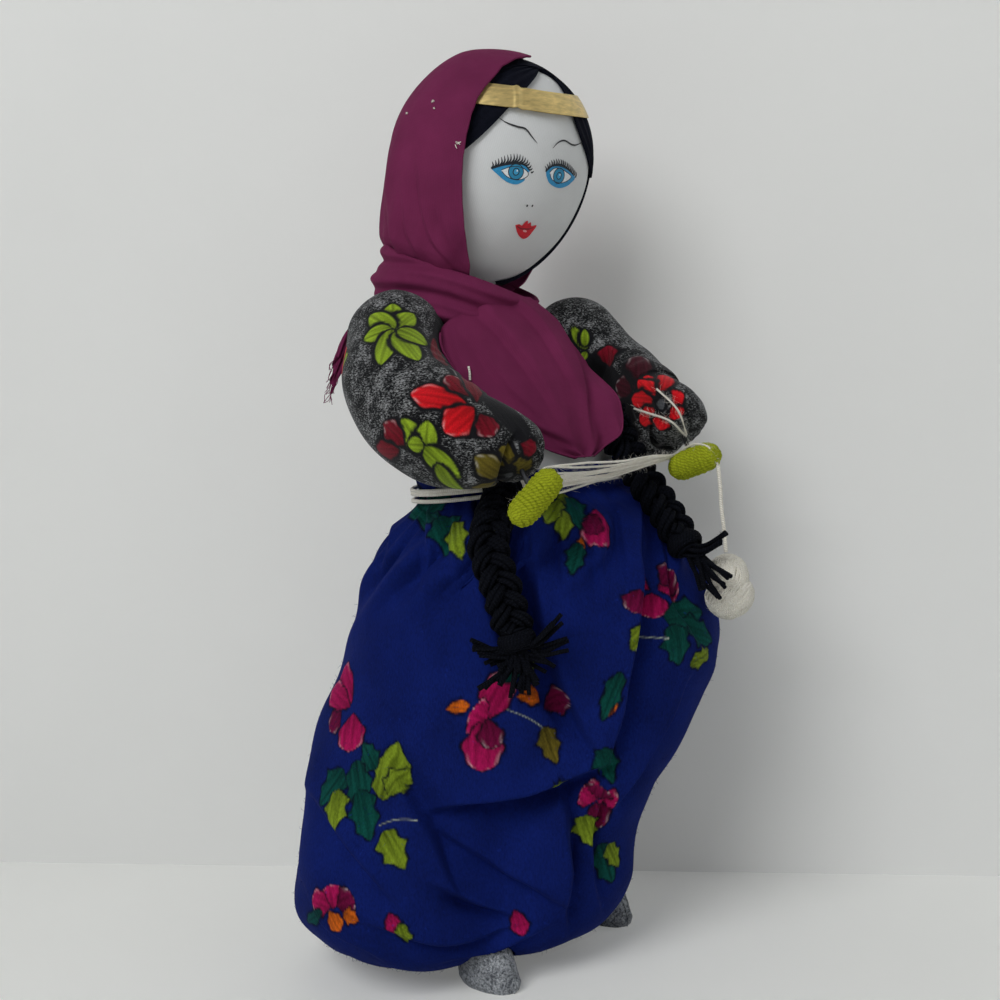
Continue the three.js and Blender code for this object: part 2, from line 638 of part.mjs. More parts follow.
// One length of yarn looped round both wrists, climbing one pitch along each way back
function skeinPoints() {
  const { right, left } = ARMS;
  const along = left.wrist.clone().sub(right.wrist).normalize();
  const bend = WIRE_RADIUS + SEAT + YARN_RADIUS;
  const post = (arm, k) => arm.wrist.clone().addScaledVector(arm.neckAim, SKEIN_START + k * SKEIN_PITCH);
  const turn = (arm, k, way) => {
    const out = along.clone().addScaledVector(arm.neckAim, -along.dot(arm.neckAim)).normalize();
    const aside = arm.neckAim.clone().cross(out);
    return Array.from({ length: 7 }, (_, i) => {
      const angle = Math.PI * (i / 6 - 0.5);
      const centre = post(arm, k).addScaledVector(out, way * bend * Math.cos(angle));
      return centre.addScaledVector(aside, way * bend * Math.sin(angle));
    });
  };
  const points = [];
  for (let k = 0; k < SKEIN_LOOPS; k++) {
    points.push(...turn(right, k, -1), ...turn(left, k, 1));
  }
  return spread(points, 20);
}

// Adds points on the long straight stretches of a route
function spread(points, longest) {
  const result = [points[0]];
  for (let i = 1; i < points.length; i++) {
    const pieces = Math.ceil(points[i].distanceTo(points[i - 1]) / longest);
    for (let k = 1; k <= pieces; k++) result.push(points[i - 1].clone().lerp(points[i], k / pieces));
  }
  return result;
}

function addYarn() {
  const skein = skeinPoints();
  addWinding(doll, "skein", skein, YARN_RADIUS, 0xe6e0d0);
  const arm = ARMS.left;
  const top = arm.hand.clone().addScaledVector(arm.handAim, HAND_HALF_LENGTH - YARN_RADIUS);
  top.z -= 0.85 * HAND_RADIUS;
  const foot = top.clone().add(at(0, 0, -STRAND_LENGTH));
  addPiece(doll, "yarn_strand", rod(new THREE.LineCurve3(foot, top), YARN_RADIUS, 4), 0xe6e0d0);

  const ball = new THREE.Group();
  ball.position.copy(foot).add(at(0, 0, -BALL_RADIUS - SEAT));
  ball.rotation.z = BALL_TURN;
  doll.add(ball);
  const padding = 2 * BALL_YARN_RADIUS + SEAT;
  addPiece(ball, "yarn_ball_core", bobbin(BALL_HALF_LENGTH - padding, BALL_RADIUS - padding), 0xded5bd);
  const points = windingPoints(BALL_HALF_LENGTH, BALL_RADIUS, BALL_YARN_RADIUS, BALL_TURNS, 0);
  addWinding(ball, "yarn_ball_winding", points, BALL_YARN_RADIUS, 0xe3dac0);
}

// Trousers: how far the cloth stands out at an angle and a height, with gathers, drapes and the dip
// between the legs
function drape(angle, height) {
  const puckered = Math.exp(-Math.pow((height - GATHER_HEIGHT) / GATHER_SPREAD, 2));
  const gather = puckered * GATHER_DEPTH * Math.cos(GATHERS * angle);
  const low = smoothstep(BAND_FOOT - height, DRAPE_START, DRAPE_FULL);
  const off = Math.atan2(Math.sin(angle - VALLEY_AIM), Math.cos(angle - VALLEY_AIM));
  const valley = VALLEY_DEPTH * low * Math.exp(-Math.pow(off / VALLEY_WIDTH, 2));
  return 1 + gather - valley + DRAPE_DEPTH * low * Math.cos(4 * angle + height / 16);
}

function trouserLevel(u) {
  const span = TROUSERS_LEVELS.length - 1;
  const i = Math.min(Math.floor(u * span), span - 1);
  const t = u * span - i;
  const size = TROUSERS_LEVELS[i].clone().lerp(TROUSERS_LEVELS[i + 1], t);
  const centre = TROUSERS_CENTRES[i].clone().lerp(TROUSERS_CENTRES[i + 1], t);
  return { size, turn: centre.z, centre: at(centre.x, centre.y, size.z) };
}

function trouserRings(inset) {
  const levels = TROUSERS_LEVELS.length - 1;
  return Array.from({ length: levels + 1 }, (_, i) => {
    const { size, turn, centre } = trouserLevel(i / levels);
    if (i === levels) centre.z += inset;
    const stretch = (angle) => drape(angle, size.z);
    return ellipse(centre, Math.max(size.x - inset, 2), Math.max(size.y - inset, 2), 30, turn, stretch);
  });
}

// A point beside the cloth, at a compass angle and a height
function besideTrousers(angle, height, gap) {
  const heights = TROUSERS_LEVELS.map((level) => level.z);
  const i = heights.findIndex((z) => z <= height);
  const t = (heights[i - 1] - height) / (heights[i - 1] - heights[i]);
  const { size, centre, turn } = trouserLevel((i - 1 + t) / (heights.length - 1));
  const local = angle - turn;
  const reach = drape(local, height);
  const x = (size.x * reach + gap) * Math.cos(local);
  const y = (size.y * reach + gap) * Math.sin(local);
  return at(x, y, 0).applyAxisAngle(at(0, 0, 1), turn).add(centre);
}

// Legs
const hip = (side) => at(side * HIP_HALF_SPAN, HIP_DEPTH, HIP_HEIGHT);
const ankle = (foot) => foot.clone().add(at(0, 0, BOOTIE_HEIGHT + SEAT));

function onLeg(name, height) {
  const [top, foot] = [hip(name === "right" ? -1 : 1), ankle(FEET[name])];
  return foot.lerp(top, (height - BOOTIE_HEIGHT - SEAT) / (HIP_HEIGHT - BOOTIE_HEIGHT - SEAT));
}

// Gathered end of a trouser leg; the inside of it is carried on to the ground
function cuff(name, inset) {
  const { top, radius } = CUFFS[name];
  const heights = [top, (2 * top + CUFF_FOOT) / 3, (top + 2 * CUFF_FOOT) / 3, CUFF_FOOT];
  if (inset > 0) heights.push(0);
  return loft(heights.map((z) => {
    const narrow = Math.min(1, (1.25 * (top - z)) / (top - CUFF_FOOT));
    const reach = lerp(radius, CUFF_RADIUS, narrow) - inset;
    return ellipse(onLeg(name, z), reach, reach, 12);
  }));
}

// How far the waist cord's corners stand off, so that its straight steps clear the band
const waistBulge = BAND_HALF_WIDTH * (1 / Math.cos(Math.PI / WAIST_CORD_STEPS) - 1);

// Room that the waist cord takes up, with a seat all round
function waistDrum() {
  const rise = (WAIST_CORD_PITCH * WAIST_CORD_TURNS) / 2 + WAIST_CORD_RADIUS + SEAT;
  const reach = waistBulge + 2 * WAIST_CORD_RADIUS + 2 * SEAT;
  const { x, y } = TROUSERS_CENTRES[0];
  return loft([-rise, rise].map((z) => ellipse(at(x, y, WAIST_CORD_HEIGHT + z), BAND_HALF_WIDTH + reach,
    BAND_HALF_DEPTH + reach, 30)));
}

function addTrousers() {
  const outer = [loft(trouserRings(0)), cuff("right", 0), cuff("left", 0)];
  const waistHole = loft([BAND_FOOT, BAND_TOP + 1].map((z) => {
    const { size, centre } = trouserLevel(0);
    return ellipse(at(centre.x, centre.y, z), size.x - TROUSERS_WALL, size.y - TROUSERS_WALL, 30);
  }));
  const inner = [loft(trouserRings(TROUSERS_WALL)), waistHole, cuff("right", TROUSERS_WALL),
    cuff("left", TROUSERS_WALL), bootie(FEET.right, BOOTIE_SLACK), bootie(FEET.left, BOOTIE_SLACK)];
  addPiece(doll, "trousers", cut(join(...outer), ...inner), 0x1c2a8a);

  const { size, centre } = trouserLevel(0);
  const reach = SEAT + WAIST_CORD_RADIUS + waistBulge;
  const points = Array.from({ length: WAIST_CORD_TURNS * WAIST_CORD_STEPS + 1 }, (_, i) => {
    const turns = i / WAIST_CORD_STEPS;
    const angle = turns * 2 * Math.PI;
    const z = WAIST_CORD_HEIGHT + WAIST_CORD_PITCH * (turns - WAIST_CORD_TURNS / 2);
    return at(centre.x + (size.x + reach) * Math.cos(angle), centre.y + (size.y + reach) * Math.sin(angle), z);
  });
  addWinding(doll, "waist_cord", points, WAIST_CORD_RADIUS, 0xe6e0d0);
}

// Rise, width, length and share of the toe's reach at each level of a foot
const BOOTIE_LEVELS = [[0, 0.88, 0.92, 1], [0.12, 1, 1, 1], [0.4, 1, 0.9, 0.9], [0.7, 0.98, 0.68, 0.6],
  [1, 1, 0.53, 0.6]];

function bootie(foot, grow) {
  return loft(BOOTIE_LEVELS.map(([rise, wide, long, toe]) => {
    const middle = foot.clone().add(at(0, -TOE_REACH * toe, (BOOTIE_HEIGHT + grow) * rise));
    return ellipse(middle, SOLE_HALF_WIDTH * wide + grow, SOLE_HALF_LENGTH * long + grow, 16);
  }));
}

function addLeg(name, side) {
  const foot = FEET[name];
  const wire = new THREE.LineCurve3(foot.clone().add(at(0, 0, FOOT_PADDING)), onLeg(name, HIP_HEIGHT));
  const bore = rod(wire, WIRE_RADIUS + SEAT, 1);
  const route = [0, 1 / 3, 2 / 3, 1].map((u) => onLeg(name, lerp(HIP_HEIGHT, BOOTIE_HEIGHT, u)));
  const size = (u) => {
    const radius = lerp(HIP_RADIUS, ANKLE_RADIUS, u);
    return [radius, radius];
  };
  const hipBall = new THREE.SphereGeometry(HIP_RADIUS, 12, 8).translate(...hip(side).toArray());
  const level = block(BEYOND, BEYOND, BEYOND).translate(0, 0, BOOTIE_HEIGHT + SEAT - BEYOND / 2);
  addPiece(doll, `leg_${name}`, cut(join(sweep(route, size, 12), hipBall), level, bore), 0xd9dadb);
  addPiece(doll, `leg_wire_${name}`, rod(wire, WIRE_RADIUS, 1), 0x8c8f92, 0.4, 0.8);

  addPiece(doll, `bootie_${name}`, cut(bootie(foot, 0), bore), 0x8d9096);
}

function addTorso() {
  const hips = rod(new THREE.LineCurve3(at(-BEYOND, HIP_DEPTH, HIP_HEIGHT), at(BEYOND, HIP_DEPTH, HIP_HEIGHT)),
    HIP_RADIUS + SEAT, 1, 18);
  const armBore = shoulderDrum(-BEYOND, BEYOND, WIRE_RADIUS + RUNNING);
  const onNeck = [-8, 0, 8, HEAD_BORE_DEPTH].map((z) => at(0, 0, z).applyMatrix4(neck.matrixWorld));
  const bend = new CatmullRomCurve3([at(0, -4, 160), at(0, -4, 190), at(-5, 7, 225), ...onNeck]);
  const spineBore = rod(bend, WIRE_RADIUS + SEAT, 14);
  addPiece(doll, "spine_wire", rod(bend, WIRE_RADIUS, 14), 0x8c8f92, 0.4, 0.8);
  const above = placed(block(BEYOND, BEYOND, BEYOND).translate(0, 0, BEYOND / 2 + CHIN_RISE / 2), neck);
  addPiece(doll, "torso", cut(loft(torsoLevels(0)), hips, ...armholes, armBore, spineBore, above), 0xe4e6e8);
}

function braidCentres(braid) {
  const lies = braid.lies.map(([angle, height]) => besideTrousers(angle, height, BRAID_HALF_DEPTH + SEAT));
  return new CatmullRomCurve3([...braid.from, ...lies]).getSpacedPoints(16);
}

function braidSkin(braid, grow) {
  const size = (u) => {
    const swell = 0.78 + 0.22 * Math.min(1, 4 * u);
    return [BRAID_HALF_DEPTH * swell + grow, BRAID_HALF_WIDTH * swell + grow];
  };
  return sweep(braidCentres(braid), size, 10);
}

function addBraid(name, braid) {
  const centres = braidCentres(braid);
  const scarf = [placed(collarRing(SEAT), neck), scarfFall(CHEST_FALL, SEAT, FALL_COVER)];
  const clear = [torsoTool(), loft(trouserRings(-SEAT)), waistDrum(), ...scarf];
  addPiece(doll, `braid_${name}`, biggest(cut(braidSkin(braid, 0), ...clear)), 0x15151b);

  const end = centres.at(-1);
  const way = end.clone().sub(centres.at(-2)).normalize();
  const tieFrom = end.clone().addScaledVector(way, SEAT);
  const tieTo = tieFrom.clone().addScaledVector(way, TIE_HEIGHT);
  const knot = (grow) => sweep([0, 0.25, 0.5, 0.75, 1].map((u) => tieFrom.clone().lerp(tieTo, u)), (u) => {
    const radius = TIE_RADIUS * (0.78 + 0.2 * Math.sin(Math.PI * u)) + grow;
    return [radius, radius];
  }, 12);
  const trousers = loft(trouserRings(-SEAT));
  addPiece(doll, `braid_tie_${name}`, cut(knot(0), trousers), 0x101014);
  const root = tieTo.clone().addScaledVector(way, SEAT);
  const tip = root.clone().add(braid.tasselReach);
  const flare = new CatmullRomCurve3([root, root.clone().addScaledVector(way, 4), tip]);
  const tuft = (u) => [TASSEL_RADIUS * (0.55 + 0.25 * u), TASSEL_RADIUS * (0.6 + 0.4 * u)];
  const tassel = sweep(flare.getSpacedPoints(5), tuft, 12);
  addPiece(doll, `tassel_${name}`, biggest(cut(tassel, trousers, knot(SEAT))), 0x101014);
}

addTorso();
addHead();
addScarf();
addTrousers();
addYarn();
for (const [name, arm] of Object.entries(ARMS)) addArm(name, arm);
addLeg("right", -1);
addLeg("left", 1);
for (const [name, braid] of Object.entries(BRAIDS)) addBraid(name, braid);

// Stands the doll on its soles, centred on its box without the hanging yarn
const HANGING = ["yarn_strand", "yarn_ball_core", "yarn_ball_winding"];
const box = new THREE.Box3();
doll.updateMatrixWorld(true);
doll.traverse((piece) => {
  if (piece.isMesh && !HANGING.includes(piece.name)) box.expandByObject(piece, true);
});
const middle = box.getCenter(at(0, 0, 0));
doll.position.set(-middle.x, -middle.y, -box.min.z);

export default doll;
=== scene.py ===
"""Rag doll winding yarn: cloth, felt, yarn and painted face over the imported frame."""
import json
import math
import bpy
import numpy as np
from mathutils import Matrix

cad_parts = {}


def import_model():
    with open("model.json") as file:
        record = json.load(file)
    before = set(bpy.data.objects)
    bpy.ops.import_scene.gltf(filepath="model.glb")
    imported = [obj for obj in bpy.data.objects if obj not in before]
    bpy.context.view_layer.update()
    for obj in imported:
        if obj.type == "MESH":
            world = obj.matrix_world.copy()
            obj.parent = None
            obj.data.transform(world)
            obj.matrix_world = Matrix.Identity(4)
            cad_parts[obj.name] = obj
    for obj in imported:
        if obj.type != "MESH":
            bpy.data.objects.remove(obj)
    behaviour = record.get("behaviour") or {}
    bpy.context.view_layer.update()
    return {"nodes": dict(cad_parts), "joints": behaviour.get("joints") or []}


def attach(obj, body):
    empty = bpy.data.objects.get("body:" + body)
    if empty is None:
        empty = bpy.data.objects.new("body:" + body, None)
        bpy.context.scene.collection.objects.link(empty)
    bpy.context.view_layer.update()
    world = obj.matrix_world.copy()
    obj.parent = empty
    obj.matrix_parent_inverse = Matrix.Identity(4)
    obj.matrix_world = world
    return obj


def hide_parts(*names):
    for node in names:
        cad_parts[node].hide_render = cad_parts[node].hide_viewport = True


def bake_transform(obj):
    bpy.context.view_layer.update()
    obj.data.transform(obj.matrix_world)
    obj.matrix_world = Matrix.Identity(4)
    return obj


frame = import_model()
random = np.random.default_rng(11)

# The doll's own frame is in millimetres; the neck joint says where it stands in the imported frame
MM = 0.001
NECK_BASE = np.array([-9.0, 9.0, 269.0])
neck_joint = next(joint for joint in frame["joints"] if joint["name"] == "head_turn")
SHIFT = np.array(neck_joint["pos_m"]) / MM - NECK_BASE


def world(points):
    """Points of the doll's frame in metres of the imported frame."""
    return (np.asarray(points, float) + SHIFT) * MM


# Camera
CAMERA_AIM = np.array([9.0, 18.0, 182.0])
CAMERA_AZIMUTH = math.radians(-36)
CAMERA_ELEVATION = math.radians(3.5)
CAMERA_ROLL = math.radians(-5.6)
CAMERA_DISTANCE = 640.0
CAMERA_FIELD = math.radians(36.5)
PICTURE_SIZE = 1000
SENSOR_WIDTH = 36.0


def camera_axes():
    """Right, up and forward of the camera in the doll's frame."""
    level = math.cos(CAMERA_ELEVATION)
    aside, ahead = math.sin(CAMERA_AZIMUTH), math.cos(CAMERA_AZIMUTH)
    back = np.array([aside * level, -ahead * level, math.sin(CAMERA_ELEVATION)])
    right = np.cross(-back, (0, 0, 1))
    right /= np.linalg.norm(right)
    up = np.cross(right, -back)
    turned_right = math.cos(CAMERA_ROLL) * right + math.sin(CAMERA_ROLL) * up
    turned_up = math.cos(CAMERA_ROLL) * up - math.sin(CAMERA_ROLL) * right
    return turned_right, turned_up, -back


CAMERA_RIGHT, CAMERA_UP, CAMERA_FORWARD = camera_axes()
CAMERA_PLACE = CAMERA_AIM - CAMERA_FORWARD * CAMERA_DISTANCE
PICTURE_REACH = PICTURE_SIZE / 2 / math.tan(CAMERA_FIELD / 2)


def pixel_ray(x, y):
    """Direction of the sight line through a pixel of the picture."""
    across = CAMERA_RIGHT * (x - PICTURE_SIZE / 2) / PICTURE_REACH
    rise = CAMERA_UP * (PICTURE_SIZE / 2 - y) / PICTURE_REACH
    ray = CAMERA_FORWARD + across + rise
    return ray / np.linalg.norm(ray)


def pixels_of(points):
    """Where points of the doll lie in the picture."""
    offset = points - CAMERA_PLACE
    depth = offset @ CAMERA_FORWARD
    x = PICTURE_SIZE / 2 + PICTURE_REACH * (offset @ CAMERA_RIGHT) / depth
    y = PICTURE_SIZE / 2 - PICTURE_REACH * (offset @ CAMERA_UP) / depth
    return np.stack([x, y], -1)


def add_camera():
    camera = bpy.data.objects.new("camera", bpy.data.cameras.new("camera"))
    bpy.context.scene.collection.objects.link(camera)
    camera.data.sensor_width = SENSOR_WIDTH
    camera.data.lens = SENSOR_WIDTH / 2 / math.tan(CAMERA_FIELD / 2)
    camera.data.clip_start = 0.01
    turn = np.column_stack([CAMERA_RIGHT, CAMERA_UP, -CAMERA_FORWARD])
    camera.matrix_world = Matrix.Translation(world(CAMERA_PLACE)) @ Matrix(turn.tolist()).to_4x4()
    bpy.context.scene.camera = camera


add_camera()


# Small maths
X, Y, Z = 0, 1, 2
CURVE_STEPS = 40


def unit(vectors):
    """The same directions with a length of one."""
    vectors = np.asarray(vectors, float)
    return vectors / np.maximum(np.linalg.norm(vectors, axis=-1, keepdims=True), 1e-9)


def ease(value, low, high):
    """A smooth step from 0 at one value to 1 at another."""
    share = np.clip((np.asarray(value, float) - low) / (high - low), 0, 1)
    return share * share * (3 - 2 * share)


def bell(value, width):
    """1 at zero, falling smoothly to both sides."""
    return np.exp(-np.square(np.asarray(value, float) / width))


def turn_about(axis, angle):
    """The matrix of a turn about one of the three axes."""
    first, second = (axis + 1) % 3, (axis + 2) % 3
    matrix = np.eye(3)
    matrix[[first, second], [first, second]] = math.cos(angle)
    matrix[first, second] = -math.sin(angle)
    matrix[second, first] = math.sin(angle)
    return matrix


def circle(count):
    """A row of angles at equal steps once round."""
    return np.linspace(0, 2 * np.pi, count, endpoint=False)[None]


def read_off(table, value):
    """What a table of pairs says at a value between its rows."""
    return np.interp(value, *zip(*table))


def run_along(line):
    """Length from the start of a line to each of its points."""
    return np.concatenate([[0], np.cumsum(np.linalg.norm(np.diff(line, axis=0), axis=1))])


def evenly(line, count):
    """The same line with points at equal steps."""
    run = run_along(line)
    wanted = np.linspace(0, run[-1], count)
    return np.stack([np.interp(wanted, run, line[:, k]) for k in range(line.shape[1])], 1)


def curve(points, count):
    """A smooth line through a few points, with equal steps."""
    points = np.asarray(points, float)
    points = np.vstack([2 * points[0] - points[1], points, 2 * points[-1] - points[-2]])
    share = np.linspace(0, 1, CURVE_STEPS, endpoint=False)[:, None]
    cubic, square = share ** 3, share ** 2
    pieces = []
    for before, start, end, after in zip(points, points[1:], points[2:], points[3:]):
        steps = (start - before, end - start, after - end)
        lead, span, follow = (max(np.linalg.norm(step), 1e-6) ** 0.5 for step in steps)
        leave = ((start - before) / lead - (end - before) / (lead + span) + (end - start) / span) * span
        arrive = ((end - start) / span - (after - start) / (span + follow) + (after - end) / follow) * span
        pieces.append((2 * cubic - 3 * square + 1) * start + (cubic - 2 * square + share) * leave
                      + (3 * square - 2 * cubic) * end + (cubic - square) * arrive)
    return evenly(np.vstack(pieces + [points[-2:-1]]), count)


def flat_curve(places, count):
    """A smooth line through a few places of a plane."""
    return curve([(across, 0, up) for across, up in places], count)[:, [0, 2]]


def line_frames(line, start=(0.31, 0.17, 0.93)):
    """Tangents and two directions across a line, without twist."""
    tangents = unit(np.gradient(line, axis=0))
    normal = np.array(start, float)
    normals = []
    for tangent in tangents:
        normal = unit(normal - tangent * normal.dot(tangent))
        normals.append(normal)
    normals = np.array(normals)
    return tangents, normals, np.cross(tangents, normals)


def grid_normals(points, closed):
    """Outward or inward normals of a grid of points, by its neighbours."""
    down = np.gradient(points, axis=0)
    if closed:
        across = np.roll(points, -1, 1) - np.roll(points, 1, 1)
    else:
        across = np.gradient(points, axis=1)
    return unit(np.cross(across, down))


def rings_round(normals, across, angle):
    """Directions from a line outward, at each angle of a row."""
    return normals[:, None] * np.cos(angle)[..., None] + across[:, None] * np.sin(angle)[..., None]


def outward_normals(points):
    """Normals of a closed tube of points, away from the middle of each ring."""
    normals = grid_normals(points, True)
    middle = points.mean(1, keepdims=True)
    return normals * np.sign((normals * (points - middle)).sum(-1).mean())


class Surface:
    """Collects grids and tubes of one piece, in the doll's frame."""

    def __init__(self):
        self.points = []
        self.faces = []
        self.face_uv = []
        self.paint = []
        self.marks = []
        self.count = 0

    def grid(self, points, closed=False, caps=False, uv=None, paint=None, keep=None, mark=0):
        """Faces over rows of points, where keep marks them; mark is the number of their material."""
        rows, columns = points.shape[:2]
        start = self.count
        self.points.append(points.reshape(-1, 3))
        self.paint.append(np.zeros((rows * columns, 4)) if paint is None else paint.reshape(-1, 4))
        self.count += rows * columns
        if uv is None:
            uv = grid_uv(points, closed)
        wide = columns if closed else columns - 1
        row, column = np.meshgrid(np.arange(rows - 1), np.arange(wide), indexing="ij")
        corners = ((0, 0), (0, 1), (1, 1), (1, 0))
        numbers = [start + (row + down) * columns + (column + across) % columns for down, across in corners]
        quads = np.stack(numbers, -1).reshape(-1, 4)
        maps = np.stack([uv[row + down, column + across] for down, across in corners], -2).reshape(-1, 4, 2)
        if keep is not None:
            held = keep.reshape(-1)[quads - start].all(1)
            quads, maps = quads[held], maps[held]
        self.faces += quads.tolist()
        self.face_uv += maps.tolist()
        self.marks += [mark] * len(quads)
        if caps:
            for end in (0, rows - 1):
                self.cap(points[end], start + end * columns, uv[end], end == 0, mark)

    def cap(self, ring, start, uv, first, mark):
        """Closes one end of a grid by a fan to the middle of its ring."""
        self.points.append(ring.mean(0)[None])
        self.paint.append(np.zeros((1, 4)))
        middle = self.count
        self.count += 1
        for place in range(len(ring)):
            here, following = start + place, start + (place + 1) % len(ring)
            self.faces.append([middle, following, here] if first else [middle, here, following])
            self.face_uv.append([uv[place].tolist()] * 3)
            self.marks.append(mark)

    def tube(self, line, radius, sides=6, lay=0.0):
        """A yarn along a line; lay is how far its twist climbs in one turn."""
        line = np.asarray(line, float)
        radius = np.broadcast_to(np.asarray(radius, float), len(line))
        _, normals, across = line_frames(line)
        points = line[:, None] + rings_round(normals, across, circle(sides)) * radius[:, None, None]
        turn = np.arange(sides + 1) / sides
        uv = np.stack(np.broadcast_arrays(run_along(line)[:, None] + lay * turn[None], turn[None]), -1)
        self.grid(points, closed=True, caps=True, uv=uv)

    def mesh(self, name, shaders):
        mesh = bpy.data.meshes.new(name)
        mesh.from_pydata(world(np.vstack(self.points)).tolist(), [], self.faces)
        flat_uv = [value for face in self.face_uv for corner in face for value in corner]
        mesh.uv_layers.new(name="UVMap").data.foreach_set("uv", np.array(flat_uv, np.float32))
        tint = mesh.attributes.new("paint", "FLOAT_COLOR", "POINT")
        tint.data.foreach_set("color", np.vstack(self.paint).astype(np.float32).reshape(-1))
        mesh.polygons.foreach_set("use_smooth", [True] * len(mesh.polygons))
        for shader in shaders:
            mesh.materials.append(shader.material)
        mesh.polygons.foreach_set("material_index", self.marks)
        mesh.update()
        return mesh

    def make(self, name, shaders, body, slot, replaces=(), ride=True):
        """The finished piece on its body and in place of the nodes that it shows; slot is not used."""
        shaders = shaders if isinstance(shaders, list) else [shaders]
        piece = bpy.data.objects.new(name, self.mesh(name, shaders))
        bpy.context.scene.collection.objects.link(piece)
        if ride:
            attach(piece, body)
        if replaces:
            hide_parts(*replaces)
        return piece


def grid_uv(points, closed):
    """Lengths along a grid's rows and columns in millimetres."""
    if closed:
        points = np.concatenate([points, points[:, :1]], 1)
    across = np.linalg.norm(np.diff(points, axis=1), axis=2).mean(0)
    down = np.linalg.norm(np.diff(points, axis=0), axis=2).mean(1)
    u = np.concatenate([[0], np.cumsum(across)])
    v = np.concatenate([[0], np.cumsum(down)])
    return np.stack(np.broadcast_arrays(u[None], v[:, None]), -1)


# Colours as they are seen
def seen(red, green, blue):
    """A colour on the screen's 0 to 255 scale, as light."""
    channels = []
    for value in (red, green, blue):
        share = value / 255
        channels.append(share / 12.92 if share <= 0.04045 else ((share + 0.055) / 1.055) ** 2.4)
    return (*channels, 1.0)


WHITE_CLOTH = seen(226, 228, 229)
PLUM = seen(116, 42, 80)
FLANNEL = seen(13, 29, 96)
BLACK_FELT = seen(17, 19, 30)
BLACK_YARN = seen(10, 12, 19)
CREAM = seen(250, 245, 230)
LIME = seen(160, 170, 38)
GOLD = seen(228, 202, 134)
STEEL = seen(58, 59, 62)

# The black ink also paints shade: dark bands along the insides of the sleeves
INKS = {
    "magenta": seen(166, 20, 82), "rose_dark": seen(104, 12, 56), "deep_green": seen(12, 74, 66),
    "lime": seen(126, 148, 38), "orange": seen(204, 98, 24), "pale": seen(176, 186, 176),
    "red": seen(206, 22, 32), "blood": seen(118, 16, 34), "leaf": seen(142, 170, 40),
    "olive": seen(104, 92, 30), "maroon": seen(66, 16, 30), "black_and_shade": seen(20, 20, 24),
    "night": seen(8, 11, 26), "smoke": seen(78, 80, 84),
}


# Materials
FIBRE_ROUGHNESS, FIBRE_SPECULAR = 0.8, 0.08
SHEEN_ROUGHNESS = 0.5


def grey(value):
    return (value, value, value, 1)


def shade(colour, factor):
    """A lighter or darker tone of a colour."""
    return (*(min(1.0, channel * factor) for channel in colour[:3]), 1.0)


